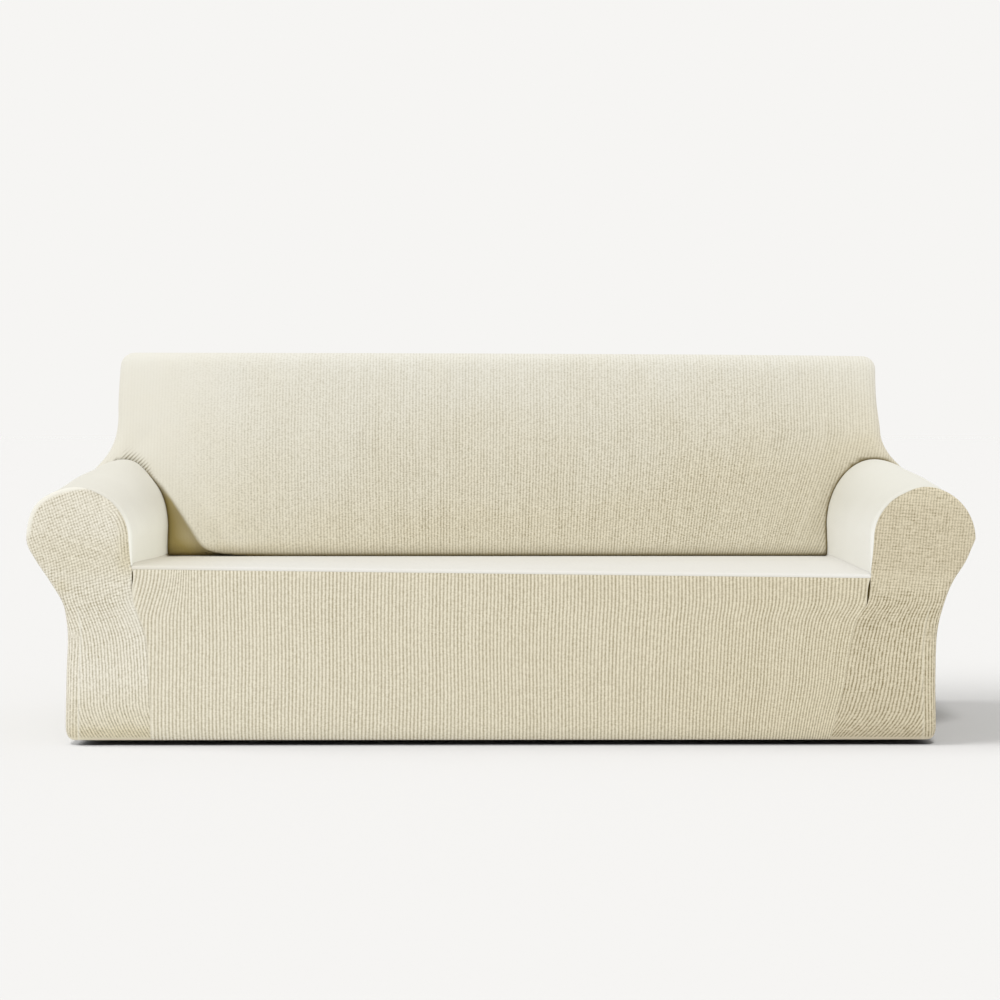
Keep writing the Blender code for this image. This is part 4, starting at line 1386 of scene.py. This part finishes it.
def frontFace(side, rim):
    # flat face as a grid between its four borders; a third column is the place along the rim
    rows = armFront["rows"]
    columns = armFront["columns"]
    rimLine = np.column_stack([rim, np.arange(len(rim), dtype=float)])
    first = armShape["wallPoints"] + armFront["topFrom"]
    last = armShape["wallPoints"] + armShape["rollPoints"] - armFront["topTo"]
    z = np.concatenate([np.linspace(0.0, cover["hemHeight"], armFront["hemPoints"] + 1)[:-1],
                        np.linspace(cover["hemHeight"], dropShape["topZ"], armFront["seamPoints"])])
    seam = seamX(side, z) + cover["seamGap"]
    seamLine = np.stack([seam, z + seamLift(sideSign[side] * seam, z), np.full(len(z), -1.0)], axis=1)
    inner = evenlyAlong(np.concatenate([seamLine, rimLine[:first + 1]]), rows)
    outer = evenlyAlong(rimLine[:last - 1:-1], rows)
    top = evenlyAlong(rimLine[first:last + 1], columns)
    even = np.linspace(0.0, 1.0, columns)
    u = even.copy()
    u[1] = armFront["closeColumn"]
    bottom = np.stack([inner[0, 0] + (outer[0, 0] - inner[0, 0]) * u, np.zeros(columns)], axis=1)
    top = np.stack([np.interp(u, even, column) for column in top.T], axis=1)
    u = u[None, :, None]
    v = np.linspace(0.0, 1.0, rows)[:, None, None]
    face = ((1 - u) * inner[:, None, :2] + u * outer[:, None, :2]
            + (1 - v) * (bottom[None, :, :] - (1 - u) * bottom[0] - u * bottom[-1])
            + v * (top[None, :, :2] - (1 - u) * top[0, :2] - u * top[-1, :2]))
    return face, inner, outer, top


def makeArmFront(side):
    sign = sideSign[side]
    quarter = math.radians(90.0)
    front = armProfile(side, cover["frontY"])
    out = squareOff(front)
    radius = cornerRadius(front)
    turnEnd = seamTurn(front)
    faceFrom = math.radians(armFront["faceFrom"])
    onFace = between(turnEnd, faceFrom, quarter)
    rim = front - out * (radius + cover["seamGap"] * onFace)[:, None]
    wallSide = rim[:armShape["wallPoints"] + armShape["rollPoints"] // 2]
    face, inner, outer, top = frontFace(side, rim)
    x, z = face.reshape(-1, 2).T
    domeReach = armFront["domeReach"] * armShape["rollRadius"]
    away = np.hypot(x - armShape["rollX"], z - armShape["rollZ"]) / domeReach
    dome = armFront["dome"] * np.maximum(0.0, 1.0 - away * away)
    dip = armFront["rimDip"] * bell(awayFromLine(x, z, wallSide), 0.0, armFront["rimDipWide"])
    # points, their places on the flat pattern, and how far they have turned to the side
    points = [flatRows(x, cover["frontY"] + hemDraw(z) - dome + dip, z)]
    lines = [flatRows(x, z)]
    turned = [np.zeros(len(x))]
    grid = np.arange(len(x)).reshape(face.shape[:2])
    quads = [gridQuads(*grid.shape)]

    def addRow(row, line, share, previous, flip):
        current = sum(len(block) for block in points) + np.arange(len(row))
        points.append(row)
        lines.append(line)
        turned.append(share)
        strip = stripQuads(previous, current)
        quads.append(strip[:, [1, 0, 3, 2]] if flip else strip)
        return current

    # the outer and upper edge turns round the arm's front edge to its side
    previous = np.concatenate([grid[:, -1], grid[-1, ::-1][1:]])
    border = lines[0][previous]
    at = np.concatenate([outer[:, 2], top[::-1, 2][1:]])
    index = np.arange(len(front))
    fronts, outs = (np.stack([np.interp(at, index, column) for column in part.T], axis=1)
                    for part in (front, out))
    outs = unitRows(outs)
    radii = np.interp(at, index, radius)
    ends = np.interp(at, index, turnEnd) + cover["seamGap"] / radii
    ends = np.minimum(ends, math.radians(armFront["turnMost"]))
    for step in range(1, armFront["turnSteps"] + 1):
        turn = quarter - (quarter - ends) * step / armFront["turnSteps"]
        along = border + outs * (radii * (quarter - turn))[:, None]
        row = cornerPoints(fronts, outs, radii, turn)
        previous = addRow(row, along, 1.0 - turn / quarter, previous, True)
    # along the seam with the drop a lip runs on behind it, deeper where the seam is open
    sewn = grid[inner[:, 2] < -0.5, 0]
    edge = points[0][sewn]
    opening = slitWidth(side, edge[:, 2])
    sunk = cover["lipSunk"] + armFront["lipDeeper"] * opening
    long = cover["lip"] + armFront["lipLonger"] * opening
    previous = sewn
    for reach in (0.0, 1.0):
        row = flatRows(edge[:, 0] - long * reach, edge[:, 1] + sunk, edge[:, 2])
        previous = addRow(row, row[:, [0, 2]], np.zeros(len(row)), previous, False)
    points, lines, turned, quads = (np.concatenate(part) for part in (points, lines, turned, quads))
    extras = frontWeights(side, points, *lines.T, turned, front, wallSide)
    # painted shade on the lip, seen through the open seam
    extras["creaseShade"] = (np.arange(len(points)) >= len(points) - 2 * len(sewn)).astype(float)
    uv = np.stack(frontLines(side, *lines.T), axis=-1)
    material = waffleKnit(f"waffle knit of the {side} front", {**armFront["look"], **armFront[side]["look"]})
    return layCloth(f"waffleFront{side.capitalize()}", points * (sign, 1.0, 1.0), uv, quads, (0.0, -1.0, 0.0),
                    cover["cloth"], extras, material)


# seat deck, rolled over the front edge and turned up into the arms
seatCloth = {
    "edgeGap": 0.0002,
    "edgeSteps": 8,
    "lipGap": 0.0024,
    "rows": 60,
    "columns": 110,
    "curlSteps": 6,
    "wallGap": 0.00006,
    "dishFrom": 0.12,
    "dishTo": (0.03, 0.15),
    "unevenness": 0.0006,
    "unevenX": 21.0,
    "unevenStart": 1.0,
    "unevenY": 17.0,
    # pale, a little deeper at the left and paler still at the right; painted shade where it goes under the
    # back and in its rear corners
    "tone": 0.15,
    "leftTone": {"add": 0.75, "x": (-0.55, -0.30)},
    "rightTone": {"add": -0.15, "x": (0.70, 0.15)},
    "backY": 0.148,
    "backSoft": 0.008,
    "underBackShade": 0.5,
    "cornerShade": {"strength": 0.35, "reach": 0.01, "x": (0.80, 0.05)},
    "look": {
        **smoothYarn,
        "pale": tint(231, 230, 226),
        "deep": tint(222, 218, 205),
        "groove": tint(205, 200, 182),
        "mottleScale": 6.0,
        "mottle": 0.25,
    },
}


def makeSeat():
    frontY = cover["frontY"]
    seatZ = cover["seatZ"]
    radius = seatShape["edgeRadius"]
    foot = seatZ - radius - seatShape["edgeFall"]
    lipY = frontY + seatCloth["lipGap"]
    edgeY = frontY + seatCloth["edgeGap"]
    edge = [(lipY, foot - cover["lip"]), (lipY, foot), (edgeY, foot), (edgeY, foot + cover["seamGap"])]
    for turn in np.radians(np.linspace(90.0, 0.0, seatCloth["edgeSteps"])):
        edge.append((frontY + radius * (1.0 - math.sin(turn)), seatZ - radius * (1.0 - math.cos(turn))))
    edge += [(y, seatZ) for y in np.linspace(frontY + radius, seatShape["rearY"], seatCloth["rows"])[1:]]
    middle = np.linspace(-1.0, 1.0, seatCloth["columns"])
    turns = np.radians(np.linspace(0.0, 90.0, seatCloth["curlSteps"] + 1)[1:])
    columns = len(middle) + 2 * len(turns)
    y, z = (np.repeat(np.array(column)[:, None], columns, axis=1) for column in zip(*edge))
    curl = sideCurl(y)
    half = np.where(np.arange(columns) < columns // 2, wallX("left", y), wallX("right", y))
    half = half - seatCloth["wallGap"]
    share = np.concatenate([np.full(len(turns), -1.0), middle, np.full(len(turns), 1.0)])
    sideways = np.concatenate([-np.sin(turns)[::-1], np.zeros(len(middle)), np.sin(turns)])
    upwards = np.concatenate([1.0 - np.cos(turns)[::-1], np.zeros(len(middle)), 1.0 - np.cos(turns)])
    x = share * (half - curl) + sideways * curl
    inside = (1.0 - np.minimum(np.abs(x / half), 1.0) ** 2) * fade(y - frontY, (0.0, seatCloth["dishFrom"]))
    inside = inside * fade(seatShape["rearY"] - y, seatCloth["dishTo"])
    uneven = np.sin(x * seatCloth["unevenX"] + seatCloth["unevenStart"]) * np.sin(y * seatCloth["unevenY"])
    z = z + seatLift(x, y) + upwards * curl
    z = z + (seatCloth["unevenness"] * uneven - seatShape["dish"]) * inside
    tone = seatCloth["tone"]
    for part in (seatCloth["leftTone"], seatCloth["rightTone"]):
        tone = tone + part["add"] * fade(x, part["x"])
    # painted shade in the rear corners and where the deck goes under the back
    corner = seatCloth["cornerShade"]
    seatShade = corner["strength"] * near(seatCloth["backY"] - y, corner["reach"]) * fade(np.abs(x), corner["x"])
    seatShade = seatShade + seatCloth["underBackShade"] * fade(y, (seatCloth["backY"], seatCloth["backSoft"]))
    seatShade = np.clip(seatShade, 0.0, 1.0)
    return layCloth("smoothSeat", flatRows(x, y, z), flatRows(x, y), gridQuads(*x.shape), (0.0, -0.2, 1.0),
                    cover["cloth"], {"tone": tone.reshape(-1), "creaseShade": seatShade.reshape(-1)},
                    smoothKnit("smooth knit of the seat", seatCloth["look"]))


# outside back
rearShape = {
    "edgeRadius": 0.016,
    "edgeSteps": 6,
    "flange": 0.004,
    "ribs": 252,
    "ribShare": 0.98,
    "perRib": 3,
    "ribHeight": 0.0007,
    "hemRows": 6,
    "rows": 30,
    "topGap": 0.01,
    "topShare": 0.7,
    "rollY": 0.43,
    # the relief of the ribs ends ahead of the edges
    "ribsUnder": (0.02, 0.02),
    "ribsAbove": (0.01, 0.02),
    "ribsBeside": (0.02, 0.01),
    "tone": 0.45,
    "ribsShow": 0.5,
}


def rearHalf(side, z):
    up = ramp(z, (armShape["rollZ"], armShape["rollRadius"] * float(rollLift(rearShape["rollY"]))))
    roll = armShape["rollX"] + armShape["rollRadius"] * np.sqrt(1.0 - up * up)
    arm = np.where(z > armShape["rollZ"], roll, underRoll(side, z)) - hemDraw(z)
    back = np.where(z > armShape["rollZ"], fromTable(backShape["sides"], "z", side, z), 0.0)
    return np.maximum(np.where(up >= 1.0, 0.0, arm), back)


def makeRear():
    shape = rearShape
    radius = backShape["edgeRadius"]
    edge = shape["edgeRadius"]
    # from each side: the flange, the rounded edge in steps, and the ribs between
    insets = edge * (1.0 - np.cos(np.radians(np.linspace(0.0, 90.0, shape["edgeSteps"] + 1))))
    side = np.concatenate([[0.0], insets])
    ribCount = int(shape["ribs"] * shape["ribShare"])
    middle = np.linspace(-1.0, 1.0, ribCount * shape["perRib"] + 1)[1:-1]
    share = np.concatenate([-np.ones(len(side)), middle, np.ones(len(side))])
    inset = np.concatenate([side, np.full(len(middle), edge), side[::-1]])
    ribbed = np.abs(share) < 1.0
    top = topEdge(share)
    upper = cover["topZ"] - radius - shape["topGap"]
    rows = np.concatenate([np.linspace(0.0, cover["hemHeight"], shape["hemRows"] + 1)[:-1],
                           np.linspace(cover["hemHeight"], upper, shape["rows"])])
    under = np.concatenate([[radius, radius * shape["topShare"]], insets[::-1], [0.0]])
    z = np.concatenate([np.repeat(rows[:, None], len(share), axis=1), top - under[:, None]])
    full = np.where(share < 0.0, rearHalf("left", z), rearHalf("right", z))
    below = top - z
    x = share * (cornerHalf(full, below, radius) - inset)
    beside = full - np.abs(x)
    drop = roundDrop(fromEdges(beside, below, radius), edge)
    y = cover["rearY"] - drop - hemDraw(z) * (1.0 - drop / edge)
    flange = np.zeros(z.shape, dtype=bool)
    flange[:, [0, -1]] = True
    flange[-1] = True
    y = np.where(flange, cover["rearY"] - edge - shape["flange"], y)
    line = np.where(ribbed, share * ribCount / 2.0, x * shape["ribs"] / 2.0)
    calm = fade(below, shape["ribsUnder"]) * fade(z, shape["ribsAbove"]) * fade(beside, shape["ribsBeside"])
    y = y + shape["ribHeight"] * (ribCrown(line) - 1.0) * calm * ribbed
    extras = {"tone": np.full(z.size, shape["tone"]), "ribsShow": np.full(z.size, shape["ribsShow"]),
              "loops": np.ones(z.size)}
    return layCloth("ribbedRear", flatRows(x, y, z), flatRows(line, z), gridQuads(*z.shape), (0.0, 1.0, 0.0),
                    cover["ribCloth"], extras, ribbedKnit("ribbed knit of the rear", backShape["look"]))


# each piece: the CAD node it stands for, its slot, its cut size and what it is sewn to
sewing = {
    "ribbedBack": {"node": "back_panel", "slot": "ribbed_knit_back", "flat": (2.42, 0.80),
                   "sewnTo": ["smoothSeat", "ribbedRear"]},
    "ribbedRear": {"node": "rear_panel", "slot": "ribbed_knit_rear", "flat": (2.24, 0.96),
                   "sewnTo": ["ribbedBack"]},
    "smoothSeat": {"node": "seat_panel", "slot": "smooth_knit_seat", "flat": (1.74, 0.64),
                   "sewnTo": ["ribbedDrop", "ribbedBack"]},
    "ribbedDrop": {"node": "skirt_panel", "slot": "ribbed_knit_skirt", "flat": (1.74, 0.41),
                   "sewnTo": ["smoothSeat"]},
}
for side in sideSign:
    sewing[f"smoothArm{side.capitalize()}"] = {
        "node": f"arm_panel_{side}", "slot": f"smooth_knit_arm_{side}", "flat": (1.00, 0.92),
        "sewnTo": ["ribbedBack", "ribbedRear"]}
    sewing[f"waffleFront{side.capitalize()}"] = {
        "node": f"arm_front_{side}", "slot": f"waffle_knit_{side}", "flat": (0.27, 0.61),
        "sewnTo": [f"smoothArm{side.capitalize()}", "ribbedDrop"]}

laid = [makeBack(), makeRear(), makeSeat(), makeDrop()]
laid += [makeArmPanel(side) for side in sideSign]
laid += [makeArmFront(side) for side in sideSign]
print("cloth laid")

for piece, area in laid:
    plan = sewing[piece.name]
    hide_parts(plan["node"])
    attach(piece, "root")

# floor, light and camera
studio = {
    "paper": tint(246, 245, 243),
    "floorSize": 4000.0,
    "floorZ": -0.0135,  # the hem hangs just clear of the floor
    "suns": {
        "softKey": {"direction": (-0.14, -0.45, 0.84), "strength": 0.70, "angle": 60.0},
        # on the floor alone: one for the soft shadow at the right, one to keep the rest of the floor pale
        "lowLight": {"direction": (-0.80, -0.12, 0.52), "strength": 8.5, "angle": 44.0},
        "frontLight": {"direction": (-0.06, -0.78, 0.70), "strength": 6.0, "angle": 10.0},
    },
    "floorSuns": ("lowLight", "frontLight"),
    "sunPlace": (-3.0, -3.0, 4.0),
    "cameraPlace": (-0.0379, -5.5365, 0.7037),
    "cameraTurn": -0.0067,
    "lens": 79.18,
    "sensor": 36.0,
    "shiftY": -0.0636,
    "seenTo": 5000.0,
}


def addSun(name, sun):
    bpy.ops.object.light_add(type="SUN", location=studio["sunPlace"])
    made = bpy.context.active_object
    made.name = name
    made.data.energy = sun["strength"]
    made.data.angle = math.radians(sun["angle"])
    made.rotation_euler = (-Vector(sun["direction"])).to_track_quat("-Z", "Y").to_euler()
    return made


bpy.ops.mesh.primitive_plane_add(size=studio["floorSize"], location=(0.0, 0.0, studio["floorZ"]))
floor = bpy.context.active_object
floor.name = "paleFloor"
lightOnFloor = sum(sun["strength"] * Vector(sun["direction"]).normalized().z
                   for sun in studio["suns"].values()) / math.pi
floorMaterial = bpy.data.materials.new("pale floor")
floorMaterial.use_nodes = True
floorShader = floorMaterial.node_tree.nodes["Principled BSDF"]
# this colour makes the lit floor as bright as the paper behind it
floorColour = [c / (c + lightOnFloor) for c in studio["paper"][:3]]
floorShader.inputs["Base Color"].default_value = (*floorColour, 1.0)
floorShader.inputs["Roughness"].default_value = 1.0
floorShader.inputs["Specular IOR Level"].default_value = 0.0
floor.data.materials.append(floorMaterial)

world = bpy.data.worlds.new("pale studio")
world.use_nodes = True
background = world.node_tree.nodes["Background"]
background.inputs["Color"].default_value = studio["paper"]
background.inputs["Strength"].default_value = 1.0
bpy.context.scene.world = world
bpy.context.scene.view_settings.view_transform = "Standard"

suns = {name: addSun(name, sun) for name, sun in studio["suns"].items()}
floorOnly = bpy.data.collections.new("floor only")
floorOnly.objects.link(floor)
for name in studio["floorSuns"]:
    suns[name].light_linking.receiver_collection = floorOnly

cameraTurn = (math.radians(90.0), 0.0, studio["cameraTurn"])
bpy.ops.object.camera_add(location=studio["cameraPlace"], rotation=cameraTurn)
camera = bpy.context.active_object
camera.data.lens = studio["lens"]
camera.data.sensor_width = studio["sensor"]
camera.data.shift_y = studio["shiftY"]
camera.data.clip_end = studio["seenTo"]
bpy.context.scene.camera = camera
print("studio ready")
